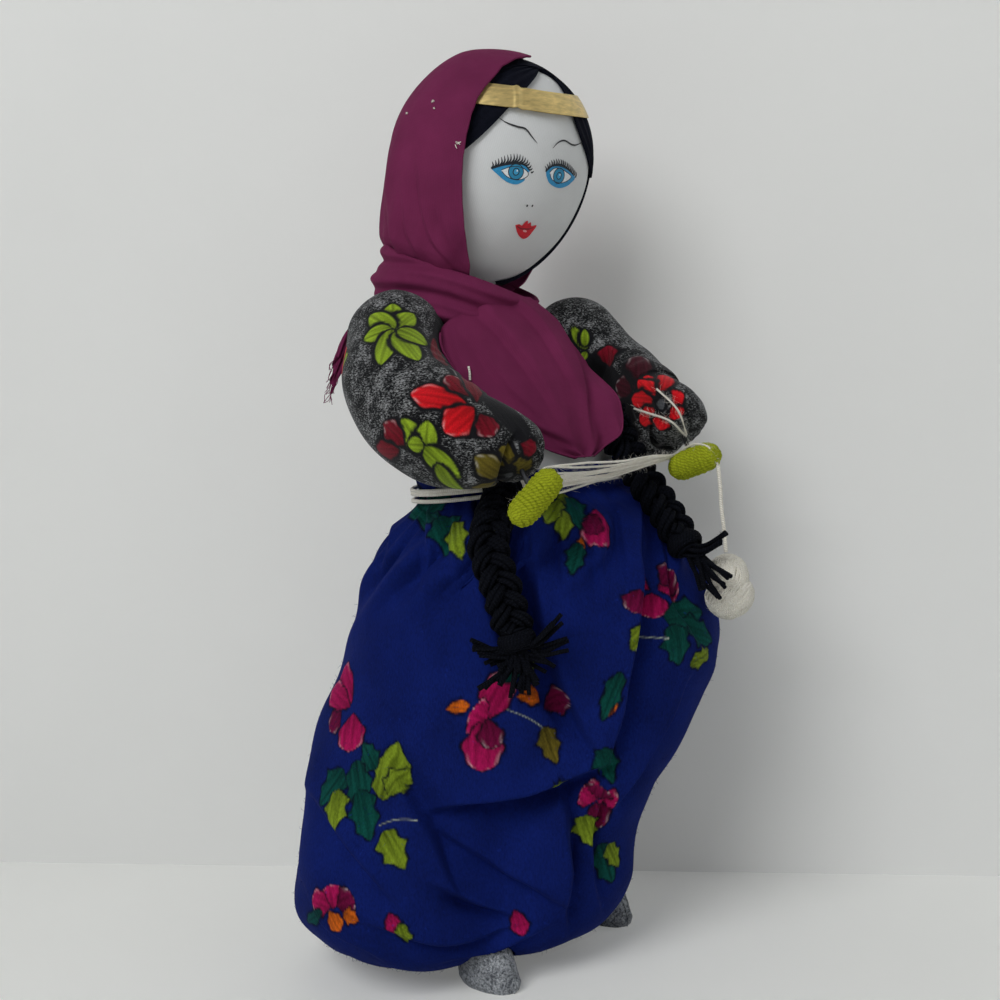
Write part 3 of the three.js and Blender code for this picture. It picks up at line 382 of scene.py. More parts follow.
class Shader:
    """One material made of nodes."""

    def __init__(self, name, colour, roughness, metallic=0.0, sheen=0.0, sheen_tint=None):
        self.material = bpy.data.materials.new(name)
        self.material.use_nodes = True
        self.tree = self.material.node_tree
        self.bsdf = self.tree.nodes["Principled BSDF"]
        self.set(self.bsdf, {"Base Color": colour, "Roughness": roughness, "Metallic": metallic})
        if roughness > FIBRE_ROUGHNESS:
            self.set(self.bsdf, {"Specular IOR Level": FIBRE_SPECULAR})
        if sheen:
            self.set(self.bsdf, {"Sheen Weight": sheen, "Sheen Roughness": SHEEN_ROUGHNESS,
                                 "Sheen Tint": sheen_tint or colour})
        self.bump_end = None

    def set(self, node, values):
        for key, value in values.items():
            node.inputs[key].default_value = value

    def node(self, kind, values=None, **settings):
        node = self.tree.nodes.new(kind)
        for key, value in settings.items():
            setattr(node, key, value)
        self.set(node, values or {})
        return node

    def link(self, source, target):
        self.tree.links.new(source, target)

    def coordinates(self, kind="Object", scale=(1, 1, 1)):
        source = self.node("ShaderNodeTexCoord")
        mapping = self.node("ShaderNodeMapping", {"Scale": scale})
        self.link(source.outputs[kind], mapping.inputs["Vector"])
        return mapping.outputs["Vector"]

    def noise(self, scale, detail=3.0, vector=None, roughness=0.55):
        noise = self.node("ShaderNodeTexNoise", {"Scale": scale, "Detail": detail, "Roughness": roughness})
        self.link(vector or self.coordinates(), noise.inputs["Vector"])
        return noise.outputs["Fac"]

    def wave(self, period, direction="X", distortion=0.0, vector=None):
        wave = self.node("ShaderNodeTexWave", {"Scale": 0.314 / period, "Distortion": distortion},
                         bands_direction=direction)
        self.link(vector or self.coordinates("UV"), wave.inputs["Vector"])
        return wave.outputs["Fac"]

    def ramp(self, source, stops, interpolation="LINEAR"):
        ramp = self.node("ShaderNodeValToRGB")
        ramp.color_ramp.interpolation = interpolation
        points = ramp.color_ramp.elements
        while len(points) < len(stops):
            points.new(0.5)
        for element, (place, colour) in zip(points, stops):
            element.position = place
            element.color = colour
        self.link(source, ramp.inputs["Fac"])
        return ramp.outputs["Color"]

    def mix(self, share, first, second, blend="MIX"):
        mix = self.node("ShaderNodeMix", data_type="RGBA", blend_type=blend)
        for value, socket in ((share, mix.inputs[0]), (first, mix.inputs[6]), (second, mix.inputs[7])):
            if hasattr(value, "is_output"):
                self.link(value, socket)
            else:
                socket.default_value = value
        return mix.outputs[2]

    def colour(self, source):
        self.link(source, self.bsdf.inputs["Base Color"])

    def roughen(self, source, low, high):
        """Roughness between two values, by a pattern."""
        self.link(self.ramp(source, [(0.0, grey(low)), (1.0, grey(high))]), self.bsdf.inputs["Roughness"])

    def tones(self, source, colour, low, high):
        """Darker and lighter tones of a colour, by a pattern."""
        return self.ramp(source, [(0.3, shade(colour, low)), (0.7, shade(colour, high))])

    def flecked(self, share, base, fibres, low, high):
        """A base colour that fine fibres darken and lighten."""
        return self.mix(share, base, self.ramp(fibres, [(0.3, grey(low)), (0.7, grey(high))]), "MULTIPLY")

    def bump(self, source, strength, distance_mm):
        bump = self.node("ShaderNodeBump", {"Strength": strength, "Distance": distance_mm * MM})
        self.link(source, bump.inputs["Height"])
        if self.bump_end:
            self.link(self.bump_end, bump.inputs["Normal"])
        self.bump_end = bump.outputs["Normal"]
        self.link(self.bump_end, self.bsdf.inputs["Normal"])

    def glow(self, colour, strength):
        """Light that only the camera, metal and glass see, for a pale room."""
        path = self.node("ShaderNodeLightPath")
        seen_by = path.outputs["Is Camera Ray"]
        for ray in ("Is Glossy Ray", "Is Transmission Ray"):
            either = self.node("ShaderNodeMath", operation="MAXIMUM")
            self.link(seen_by, either.inputs[0])
            self.link(path.outputs[ray], either.inputs[1])
            seen_by = either.outputs[0]
        share = self.node("ShaderNodeMath", operation="MULTIPLY")
        share.inputs[1].default_value = strength
        self.link(seen_by, share.inputs[0])
        self.set(self.bsdf, {"Emission Color": colour})
        self.link(share.outputs[0], self.bsdf.inputs["Emission Strength"])

    def open_behind(self):
        """Leaves the back of the surface clear, so that a wall doesn't hide what stands before it."""
        side = self.node("ShaderNodeNewGeometry")
        clear = self.node("ShaderNodeBsdfTransparent")
        mix = self.node("ShaderNodeMixShader")
        self.link(side.outputs["Backfacing"], mix.inputs[0])
        self.link(self.bsdf.outputs[0], mix.inputs[1])
        self.link(clear.outputs[0], mix.inputs[2])
        self.link(mix.outputs[0], self.tree.nodes["Material Output"].inputs["Surface"])

    def printed_over(self, base):
        """A base colour under the print, and the painted shade of the sleeves, that the mesh carries."""
        node = self.node("ShaderNodeAttribute", attribute_name="paint")
        return self.mix(node.outputs["Alpha"], base, node.outputs["Color"])


def woven(name, colour, period, sheen, low, high, thread, wrinkle=0.0):
    """Plain-woven cloth: two sets of threads and soft patches."""
    shader = Shader(name, colour, 0.85, sheen=sheen)
    base = shader.tones(shader.noise(60), colour, low, high)
    warp = shader.wave(period, "X", 0.6)
    weft = shader.wave(period, "Y", 0.6)
    threads = shader.mix(0.5, warp, weft)
    lit_threads = shader.ramp(threads, [(0.2, shade(colour, 0.72)), (0.8, shade(colour, 1.2))])
    shader.colour(shader.mix(thread, base, lit_threads))
    shader.roughen(shader.noise(300), 0.75, 0.95)
    shader.bump(threads, 0.35, 0.15)
    shader.bump(shader.noise(900, 2), 0.2, 0.2)
    if wrinkle:
        shader.bump(shader.noise(130, 4, shader.coordinates("Object", (1, 1, 0.6))), wrinkle, 1.5)
    return shader


def napped(name, colour, sheen, painted=False):
    """Brushed flannel or felt: fine fibres, lint and soft patches, over its print."""
    shader = Shader(name, colour, 0.95, sheen=sheen, sheen_tint=shade(colour, 3.0))
    base = shader.tones(shader.noise(45), colour, 0.8, 1.2)
    if painted:
        base = shader.printed_over(base)
    fibres = shader.noise(1500, 2, shader.coordinates("Object", (1, 1, 0.45)))
    base = shader.flecked(0.4, base, fibres, 0.45, 1.5)
    lint = shader.ramp(shader.noise(420, 1), [(0.735, grey(0)), (0.76, grey(0.2))])
    shader.colour(shader.mix(lint, base, shade(colour, 3.2)))
    shader.roughen(shader.noise(200), 0.85, 1.0)
    shader.bump(fibres, 0.5, 0.35)
    shader.bump(shader.noise(260, 3), 0.25, 0.5)
    return shader


def heather(name, dark, light, threshold, streak=1.0, painted=False):
    """Cloth of mixed dark and pale fibres, with its print, and on the sleeves painted shade, on top."""
    shader = Shader(name, dark, 0.95, sheen=0.25, sheen_tint=light)
    flecks = shader.noise(1050, 4, shader.coordinates("Object", (1, 1, streak)), 0.7)
    coarse = shader.noise(190, 3)
    blended = shader.mix(0.3, flecks, coarse)
    base = shader.ramp(blended, [(threshold - 0.09, dark), (threshold + 0.12, light)])
    if painted:
        base = shader.printed_over(base)
    fibres = shader.noise(1700, 2)
    shader.colour(shader.flecked(0.35, base, fibres, 0.5, 1.45))
    shader.roughen(coarse, 0.85, 1.0)
    shader.bump(flecks, 0.4, 0.3)
    shader.bump(fibres, 0.4, 0.25)
    return shader


def yarn(name, colour, ply, sheen, low=0.62, high=1.15):
    """Twisted yarn: the plies climb along the tube, with fine fibres on them."""
    shader = Shader(name, colour, 0.9, sheen=sheen, sheen_tint=shade(colour, 1.5))
    twist = shader.wave(ply, "X", 0.8)
    base = shader.ramp(twist, [(0.05, shade(colour, low)), (0.6, shade(colour, high))])
    shader.colour(shader.mix(0.35, base, shader.tones(shader.noise(900, 3), colour, 0.7, 1.25)))
    shader.roughen(shader.noise(500), 0.8, 1.0)
    shader.bump(twist, 0.6, 0.3)
    shader.bump(shader.noise(2400, 2), 0.4, 0.15)
    return shader


def foil(name):
    """Thin gold foil ribbon with rubbed patches."""
    shader = Shader(name, GOLD, 0.32, metallic=0.55)
    rubbed = shader.noise(240, 4, shader.coordinates("Object", (1, 1, 4)))
    shader.colour(shader.tones(rubbed, GOLD, 0.72, 1.12))
    shader.roughen(rubbed, 0.28, 0.5)
    shader.bump(shader.noise(500, 3), 0.15, 0.1)
    return shader


def wire(name):
    """Drawn steel wire, streaked along its length."""
    shader = Shader(name, STEEL, 0.4, metallic=0.9)
    drawn = shader.noise(800, 3, shader.coordinates("Object", (1, 1, 0.1)))
    shader.colour(shader.tones(drawn, STEEL, 0.7, 1.15))
    shader.roughen(drawn, 0.3, 0.5)
    return shader


def ink(name, colour):
    """Paint on the face, a little uneven where the cloth took it."""
    shader = Shader(name, colour, 0.55)
    shader.colour(shader.tones(shader.noise(1100, 3), colour, 0.86, 1.12))
    shader.bump(shader.noise(1500, 2), 0.1, 0.05)
    return shader


white_cloth = woven("white_cloth", WHITE_CLOTH, 0.5, 0.1, 0.95, 1.02, 0.12)
plum_cloth = woven("plum_cloth", PLUM, 0.55, 0.12, 0.82, 1.16, 0.35, wrinkle=0.4)
flannel = napped("blue_flannel", FLANNEL, 0.1, painted=True)
sleeve_cloth = heather("sleeve_print", seen(12, 13, 16), seen(186, 188, 190), 0.575, 2.0, painted=True)
black_felt = napped("black_felt", BLACK_FELT, 0.2)
grey_felt = heather("grey_felt", seen(78, 82, 88), seen(190, 194, 199), 0.5)
cream_yarn = yarn("cream_yarn", CREAM, 0.9, 0.4, 0.86, 1.04)
lime_yarn = yarn("lime_yarn", LIME, 1.1, 0.35)
black_yarn = yarn("black_yarn", BLACK_YARN, 1.2, 0.05, 0.5, 1.6)
gold_foil = foil("gold_foil")
steel_wire = wire("steel_wire")
padding = napped("padding", seen(216, 213, 204), 0.2)


# Placing by a pixel of the picture
def on_sight(points, x, y, within=1.6):
    """Number of the nearest point of a surface on the sight line of a pixel."""
    offset = points - CAMERA_PLACE
    ray = pixel_ray(x, y)
    depth = offset @ ray
    aside = np.linalg.norm(offset - depth[:, None] * ray, axis=1)
    close = np.where(aside < within)[0]
    if len(close) == 0:
        return int(aside.argmin())
    return int(close[depth[close].argmin()])


def route_on(points, pixels, count):
    """A line on a surface through a few pixels."""
    return curve([points[on_sight(points, x, y)] for x, y in pixels], count)


def nearest_on(line, points):
    """Distance of each point to a line of points."""
    best = np.full(len(points), np.inf)
    for place in line:
        best = np.minimum(best, np.square(points - place).sum(1))
    return np.sqrt(best)


def crease(points, normals, pixels, depth, width):
    """Presses a groove along a line of pixels, fading at its two ends."""
    flat = points.reshape(-1, 3)
    line = route_on(flat, pixels, 40)
    span = np.linalg.norm(line[-1] - line[0]) + 1e-6
    near = np.where(np.abs(flat - line.mean(0)).max(1) < span + 4 * width)[0]
    distance = nearest_on(line, flat[near])
    along = np.clip((flat[near] - line[0]) @ (line[-1] - line[0]) / span ** 2, 0, 1)
    fade = np.sin(np.pi * np.clip(0.12 + 0.76 * along, 0, 1))
    push = np.zeros(len(flat))
    push[near] = -depth * fade * bell(distance, width)
    return points + normals * push.reshape(points.shape[:2])[..., None]


def soften(field, passes):
    """Evens out a grid that closes on itself across."""
    for _ in range(passes):
        field = (np.roll(field, 1, 1) + 2 * field + np.roll(field, -1, 1)) / 4
        padded = np.concatenate([field[:1], field, field[-1:]], 0)
        field = (padded[:-2] + 2 * field + padded[2:]) / 4
    return field


# Pixels over which a fold turns from its raised to its sunk side, and fades past its ends
FOLD_LIP, FOLD_END = 2.2, 14


def fold_push(places, line, rise, dip, reach, sink):
    """How far one fold moves points of the picture: up on the left of its line and in on the right."""
    tangents = unit(np.gradient(line, axis=0))
    gaps = np.square(places[:, None] - line[None]).sum(-1)
    nearest = gaps.argmin(1)
    offset = places - line[nearest]
    aim = tangents[nearest]
    left = offset[:, 0] * aim[:, 1] - offset[:, 1] * aim[:, 0]
    past = np.abs((offset * aim).sum(1))
    fade = np.sin(np.pi * (0.1 + 0.8 * nearest / (len(line) - 1))) * bell(past, FOLD_END)
    over = ease(left, -FOLD_LIP, FOLD_LIP)
    raised = rise * np.exp(-np.maximum(left, 0) / reach) * over
    sunk = dip * np.exp(np.minimum(left, 0) / sink) * (1 - over)
    return (raised - sunk) * fade


def folded(points, normals, folds):
    """Cloth with the folds that the picture shows, on the side that faces it."""
    flat, facing = points.reshape(-1, 3), normals.reshape(-1, 3)
    toward = ease(-(facing * unit(flat - CAMERA_PLACE)).sum(1), -0.2, 0.12)
    places = pixels_of(flat)
    push = np.zeros(len(flat))
    for pixels, rise, dip, reach, sink in folds:
        line = flat_curve(pixels, 50)
        low, high = line.min(0) - 3 * reach, line.max(0) + 3 * reach
        near = np.where((toward > 0.001) & (places > low).all(1) & (places < high).all(1))[0]
        push[near] += fold_push(places[near], line, rise, dip, reach, sink)
    push = soften((push * toward).reshape(points.shape[:2]), 2)
    return points + normals * push[..., None]


# Print: petals and leaves from one place of a surface to another
LIT_PETAL = 4.0  # petals wider than this have a pale rim
LINE_BOW = 1.2


def stroke_places(points, normals, ends, half_width):
    """Numbers of the points near a stroke, how far along and aside of it they lie, and its length."""
    origin, tip = points[ends[0]], points[ends[1]]
    length = np.linalg.norm(tip - origin) + 1e-6
    along = (tip - origin) / length
    normal = unit(normals[ends[0]] + normals[ends[1]])
    side = unit(np.cross(normal, along))
    offset = points - origin
    near = np.where(np.linalg.norm(points - (origin + tip) / 2, axis=1) < length * 0.75 + half_width + 3)[0]
    near = near[np.abs(offset[near] @ normal) < 0.35 * length + 4]
    return near, offset[near] @ along / length, offset[near] @ side, length


def stroke_profile(kind, inside, aside, turn):
    """Half width of a stroke along its length, as a share of its widest."""
    if kind == "leaf":
        lobes = np.abs(np.mod(2.6 * inside + 0.2 * np.sign(aside) + 0.1 * turn, 1) * 2 - 1)
        return np.sin(np.pi * inside ** 0.75) ** 0.8 * (0.74 + 0.46 * lobes ** 1.5)
    if kind == "blade":
        return 2.35 * inside ** 0.62 * (1 - inside) ** 0.72
    if kind == "line":
        return np.ones_like(inside)
    return np.sin(np.pi * inside ** 1.35) ** 0.62 * (1 + 0.09 * np.sin(15 * inside + turn))


def lay_paint(paint, rows, tone, cover):
    paint[rows, :3] = paint[rows, :3] * (1 - cover) + tone * cover
    paint[rows, 3:] = np.maximum(paint[rows, 3:], cover)


def paint_stroke(paint, points, normals, ends, kind, colour, half_width, edge):
    """Paints one petal, leaf, blade or line, over the darker edge that surrounds it."""
    near, along, aside, length = stroke_places(points, normals, ends, half_width)
    inside = np.clip(along, 0, 1)
    turn = random.uniform(0, 6)
    profile = stroke_profile(kind, inside, aside, turn)
    if kind == "line":
        aside = aside - LINE_BOW * np.sin(np.pi * inside)
    past = np.maximum(np.maximum(-along, along - 1), 0) * length
    border = half_width * profile - np.abs(aside) - 2 * past
    across = aside / half_width
    streak = np.sin(11 * across + 2.2 * along + turn) + 0.7 * np.sin(19 * across - 3 * along + 2 * turn)
    bright = 0.58 + 0.55 * inside + 0.15 * streak
    tone = np.asarray(INKS[colour])[:3] * np.clip(bright, 0.3, 1.4)[:, None]
    if kind in ("leaf", "blade"):
        tone = tone * (1 - 0.4 * bell(aside, 0.5))[:, None]
    if kind == "petal" and half_width > LIT_PETAL:
        tips = ease(inside, 0.45, 0.9)
        lit = 0.3 * bell(border - 0.5, 0.5) * tips * (0.5 + 0.5 * np.sin(9 * across + turn))
        tone = tone + lit[:, None] * (1 - tone)
    edge_width, edge_colour = edge
    if kind != "line":
        rim = ease(border + 0.25 * streak, -edge_width - 0.8, -edge_width + 0.6)[:, None]
        lay_paint(paint, near, np.asarray(INKS[edge_colour])[None, :3], rim)
    lay_paint(paint, near, tone, ease(border, -0.35, 0.35)[:, None])


def printed(points, normals, runs, edge):
    """Colour of a print, with any painted shade among its runs, at each point, by runs of strokes between
    pairs of pixels.
    """
    flat, facing = points.reshape(-1, 3), normals.reshape(-1, 3)
    paint = np.zeros((len(flat), 4))
    for kind, colour, strokes in runs:
        for x0, y0, x1, y1, half_width in strokes:
            ends = on_sight(flat, x0, y0), on_sight(flat, x1, y1)
            paint_stroke(paint, flat, facing, ends, kind, colour, half_width, edge)
    return paint


def paint_behind(paint, points, normals, sprigs, edge):
    """Sprigs on the sides that the picture doesn't show, by compass angle and height."""
    flat, facing = points.reshape(-1, 3), normals.reshape(-1, 3)
    middle = flat.mean(0)
    compass = np.arctan2(flat[:, 1] - middle[1], flat[:, 0] - middle[0])
    for angle, height, size, turn, petals in sprigs:
        off = np.abs(np.angle(np.exp(1j * (compass - math.radians(angle)))))
        start = int((off * 60 + np.abs(flat[:, 2] - height)).argmin())
        level = unit(np.cross((0, 0, 1), facing[start]))
        rise = np.cross(facing[start], level)
        for kind, colour, way, first, last, half_width in petals:
            bearing = math.radians(way + turn)
            aim = level * math.cos(bearing) + rise * math.sin(bearing)
            places = [flat[start] + aim * size * reach for reach in (first, last)]
            ends = [int(np.square(flat - place).sum(1).argmin()) for place in places]
            if ends[0] != ends[1]:
                paint_stroke(paint, flat, facing, ends, kind, colour, half_width * size, edge)


# Head
HEAD_TILT = turn_about(X, math.radians(18)) @ turn_about(Y, math.radians(15))
HEAD_AXES = HEAD_TILT @ turn_about(Z, math.radians(-6))
HEAD_HALF = (38.5, 34.0, 45.0)
HEAD_TAPER = 0.1
CHIN_RISE = 4.0
HEAD_CENTRE = NECK_BASE + HEAD_TILT @ np.array([0, 0, CHIN_RISE + HEAD_HALF[2]])
# How far each layer stands off the head, and how straight the hood hangs below its middle
FELT_GROW, BAND_GROW, HOOD_GROW = 1.45, 2.4, 4.6
HOOD_DRAPE = 0.28


def from_head(points):
    return np.asarray(points, float) @ HEAD_AXES.T + HEAD_CENTRE


def from_neck(points):
    return np.asarray(points, float) @ HEAD_TILT.T + NECK_BASE


def rise_at(height, grow):
    """A height as a share of the grown head's half height."""
    return np.clip(height / (HEAD_HALF[2] + grow), -1, 1)


def swell_at(rise, draped=False):
    """How wide the head is at a share of its half height."""
    level = np.sqrt(np.maximum(1 - rise * rise, 0)) * (1 + HEAD_TAPER * rise)
    return np.where((rise < 0) & draped, 1 - HOOD_DRAPE * rise * rise, level)


def egg(longitude, height, grow, draped=False):
    """Points of the grown head in its own frame."""
    swell = swell_at(rise_at(height, grow), draped)
    x = (HEAD_HALF[0] + grow) * swell * np.cos(longitude)
    y = (HEAD_HALF[1] + grow) * swell * np.sin(longitude)
    return np.stack(np.broadcast_arrays(x, y, height), -1)


def on_face(spots, grow):
    """Points of the front of the head over places given across and up."""
    spots = np.asarray(spots, float)
    across, height = spots[..., 0], spots[..., 1]
    swell = swell_at(rise_at(height, grow))
    share = np.clip(across / ((HEAD_HALF[0] + grow) * swell), -0.999, 0.999)
    depth = -(HEAD_HALF[1] + grow) * swell * np.sqrt(1 - share * share)
    return from_head(np.stack([across, depth, height], -1))


def add_head():
    longitude = circle(180)
    height = HEAD_HALF[2] * np.sin(np.linspace(-np.pi / 2, np.pi / 2, 130))[1:-1, None]
    puckers = 0.25 * np.sin(7 * longitude + height / 9) * np.sin(3 * longitude - height / 6)
    points = egg(longitude, height, 0) * (1 + puckers[..., None] / 60)
    surface = Surface()
    surface.grid(from_head(points), closed=True, caps=True)
    surface.make("head_cloth", white_cloth, "head", "white_cloth", ["head"])


# Face: paint lies just off the cloth, and each layer a little above the last
PAINT_LIFT, PAINT_LAYER = 0.06, 0.004


class FacePaint:
    """Patches and brush lines of paint that lie on the head, each above the last."""

    def __init__(self):
        self.surface = Surface()
        self.shaders = []
        self.layer = 0

    def next_layer(self, shader):
        """Starts a layer of paint and gives the number of its material."""
        if shader not in self.shaders:
            self.shaders.append(shader)
        self.layer += 1
        return self.shaders.index(shader)

    def lay(self, places, shader, closed):
        mark = self.next_layer(shader)
        points = on_face(places, PAINT_LIFT + PAINT_LAYER * self.layer)
        self.surface.grid(points, closed=closed, mark=mark)

    def patch(self, outline, shader):
        """A filled outline, by rings that shrink to its middle."""
        outline = np.asarray(outline, float)
        middle = outline.mean(0)
        rings = np.linspace(1, 0.02, 8)[:, None, None]
        self.lay(middle + (outline - middle) * rings, shader, True)

    def brush(self, line, widths, shader, count=24):
        """A line whose width changes along its length."""
        flat = flat_curve(line, count)
        along = unit(np.gradient(flat, axis=0))
        side = np.stack([-along[:, 1], along[:, 0]], 1)
        width = read_off(widths, np.linspace(0, 1, count))[:, None, None]
        across = side[:, None] * np.linspace(-0.5, 0.5, 3)[None, :, None] * width
        self.lay(flat[:, None] + across, shader, False)


def oval(centre, half_width, half_height, count=28):
    angle = circle(count)[0]
    return np.stack([centre[0] + half_width * np.cos(angle), centre[1] + half_height * np.sin(angle)], 1)


def smooth_outline(places, count=48):
    """A closed outline through a few places."""
    return flat_curve([*places, places[0]], count + 1)[:-1]


FACE_INKS = {
    "shadow": ("eye_shadow_blue", seen(40, 146, 200)), "white": ("eye_white", seen(236, 240, 242)),
    "line": ("eye_line", seen(10, 22, 34)), "iris": ("iris_teal", seen(34, 138, 180)),
    "ring": ("iris_ring", seen(60, 164, 210)), "brow": ("brow_line", seen(34, 34, 40)),
    "lip": ("lip_red", seen(212, 22, 42)), "lip_dark": ("lip_dark", seen(132, 10, 26)),
    "light": ("lip_light", seen(232, 176, 176)),
}
# Eyes, brows, nose and lips as places across and up on the face
EYES = [
    {"lid": [(-18.9, 0.2), (-15.6, 2.8), (-11.4, 5.0), (-7.4, 5.4), (-4.2, 3.5)],
     "shadow": [(-4.7, 1.7), (-6.2, -0.8), (-8.4, -2.5), (-12.3, -2.6), (-17.9, -0.4)],
     "white": [(-15.6, 0.8), (-12.6, 3.1), (-9.6, 4.1), (-6.8, 3.9), (-4.9, 2.6), (-6.0, 0.7), (-9.2, -0.9),
               (-13.0, -0.7)],
     "iris": (-10.0, 2.0),
     "lash": [(-19.4, 2.8), (-15.7, 6.5), (-11.0, 8.6), (-6.6, 7.6), (-3.3, 4.4)]},
    {"lid": [(2.1, 5.7), (3.9, 8.3), (8.0, 9.9), (13.6, 9.5), (18.8, 7.8)],
     "shadow": [(18.4, 6.7), (14.8, 3.3), (9.9, 1.5), (5.0, 2.3), (2.9, 4.2)],
     "white": [(3.9, 6.0), (5.4, 7.9), (8.4, 8.8), (12.2, 8.4), (16.0, 7.4), (13.6, 4.9), (9.6, 3.4),
               (5.8, 3.9)],
     "iris": (9.0, 6.0),
     "lash": [(0.9, 7.6), (3.0, 10.4), (7.4, 12.2), (12.8, 11.8), (18.2, 10.0)]},
]
# Half sizes of the rings of an iris, from its edge inward, and of the light in it
IRIS_RINGS = [("line", 3.1, 3.1), ("iris", 2.75, 2.75), ("line", 1.35, 1.5), ("ring", 0.95, 1.1)]
IRIS_LIGHT, IRIS_LIGHT_SHIFT = (0.28, 0.34), (0.3, 0.5)
BROWS = [[(-20.3, 19.1), (-17.6, 18.3), (-13.4, 18.2), (-10.5, 18.4), (-7.6, 16.5), (-4.7, 14.7)],
         [(2.6, 15.0), (4.6, 17.7), (7.7, 19.4), (12.2, 19.1), (14.6, 19.5), (18.9, 21.6)]]
NOSTRILS = [(-0.7, -8.7), (1.5, -8.1)]
LIPS = [(-1.8, -17.0), (-0.3, -16.2), (0.9, -16.4), (1.7, -14.6), (2.5, -13.9), (3.2, -15.0), (4.1, -14.1),
        (5.2, -15.4), (7.5, -14.5), (7.1, -17.6), (6.4, -19.8), (4.9, -21.0), (2.3, -20.5), (0.1, -19.0)]
LIP_LINE = [(-1.0, -17.2), (1.4, -17.6), (3.0, -17.2), (4.6, -16.9), (6.6, -15.6)]
LIP_LIGHT = (3.5, -18.0)
LASHES = 17
# Widths of brush lines along their length
FINE_LINE = [(0, 0.28), (1, 0.28)]
LID_LINE = [(0, 0.4), (0.5, 1.15), (1, 0.4)]
THIN_ENDS = [(0, 0.2), (0.3, 0.66), (0.7, 0.66), (1, 0.16)]
LASH_WIDTH = [(0, 0.68), (0.6, 0.52), (1, 0.16)]


def paint_eye(face, eye, inks):
    lid, lashes = flat_curve(eye["lid"], 40), flat_curve(eye["lash"], LASHES)
    face.patch(np.vstack([lid, flat_curve(eye["shadow"], 24)]), inks["shadow"])
    face.patch(smooth_outline(eye["white"]), inks["white"])
    for colour, half_width, half_height in IRIS_RINGS:
        face.patch(oval(eye["iris"], half_width, half_height), inks[colour])
    face.patch(oval(np.add(eye["iris"], IRIS_LIGHT_SHIFT), *IRIS_LIGHT), inks["white"])
    face.brush(smooth_outline(eye["white"], 40), FINE_LINE, inks["line"], 60)
    face.brush(lid[::4], LID_LINE, inks["line"])
    roots = lid[np.linspace(0, len(lid) - 1, LASHES).astype(int)]
    for root, tip in zip(roots, lashes):
        bend = (root + tip) / 2 + 0.18 * (tip - root)[::-1] * (1, -1)
        face.brush([root, bend, tip], LASH_WIDTH, inks["line"], 8)


def add_face():
    inks = {part: ink(*paint) for part, paint in FACE_INKS.items()}
    face = FacePaint()
    for eye in EYES:
        paint_eye(face, eye, inks)
    for brow in BROWS:
        face.brush(brow, THIN_ENDS, inks["brow"], 40)
    for nostril in NOSTRILS:
        face.patch(oval(nostril, 0.36, 0.5, 12), inks["brow"])
    face.patch(smooth_outline(LIPS, 84), inks["lip"])
    face.brush(LIP_LINE, THIN_ENDS, inks["lip_dark"])
    face.patch(oval(LIP_LIGHT, 1.0, 0.42, 16), inks["light"])
    face.surface.make("face_paint", face.shaders, "head", "white_cloth")


# Hair: felt locks from the parting, by the places of their edges across and up, and the felt behind them
LOCK_EDGES = {
    "right": [(1.5, 45.2), (-1.2, 43.6), (-4.8, 40.2), (-10.3, 34.4), (-17.6, 24.6), (-22.4, 16.6),
              (-29.5, 3.4)],
    "left": [(2.3, 45.2), (5.0, 43.8), (7.9, 41.0), (9.4, 36.4), (12.6, 28.6), (17.9, 22.5), (25.5, 16.5),
             (33.5, 11.0)],
}
FELT_THICKNESS = 1.1
FELT_FACES = (FELT_GROW, FELT_GROW - FELT_THICKNESS)
HAIR_BACK_START = -13.0
HAIR_BACK_FOOT, HAIR_BACK_TOP = math.radians(-62), math.radians(88)


def hair_seam(rise, grow):
    """The longitude where the felt behind begins."""
    return np.arcsin(np.clip(HAIR_BACK_START / ((HEAD_HALF[1] + grow) * swell_at(rise)), -1, 1))


def lock_points(edge, side, grow):
    share = np.linspace(0, 1, 30)[None, :]
    height = edge[:, 1][:, None]
    rise = np.clip(height / (HEAD_HALF[2] + grow), -0.999, 0.999)
    start = -np.arccos(np.clip(edge[:, :1] / ((HEAD_HALF[0] + grow) * swell_at(rise)), -1, 1))
    seam = hair_seam(rise, grow)
    end = seam if side == "left" else -np.pi - seam
    ripple = 0.25 * np.sin(26 * share + height / 4)
    return from_head(egg(start + (end - start) * share, height, grow + ripple))


def hair_back_points(grow):
    height = (HEAD_HALF[2] + grow) * np.sin(np.linspace(HAIR_BACK_FOOT, HAIR_BACK_TOP, 90))[:, None]
    seam = hair_seam(height / (HEAD_HALF[2] + grow), grow)
    share = np.linspace(0, 1, 120)[None]
    return from_head(egg(seam + (np.pi - 2 * seam) * share, height, grow))


def add_felt(name, outer, inner):
    """A felt patch: its face, and its edge turned down to the head."""
    surface = Surface()
    surface.grid(np.concatenate([inner[:1], outer, inner[-1:]], 0))
    for column in (0, -1):
        surface.grid(np.stack([outer[:, column], inner[:, column]], 1))
    surface.make(f"{name}_felt", black_felt, "head", "black_felt", [name])


def add_hair():
    for side, edge in LOCK_EDGES.items():
        places = flat_curve(edge, 60)
        add_felt(f"hair_lock_{side}", *(lock_points(places, side, grow) for grow in FELT_FACES))
    add_felt("hair_back", *(hair_back_points(grow) for grow in FELT_FACES))


# Headband: its middle line across and up, and where its foil is kinked and by how much
BAND_LINE = [(-29.5, 25.6), (-17.0, 28.4), (-4.2, 30.7), (8.0, 33.2), (25.0, 36.6)]
BAND_HEIGHT = 8.0
BAND_KINKS = [(-15.5, 0.7), (-13.6, -0.35)]
FOIL_THICKNESS = 0.3


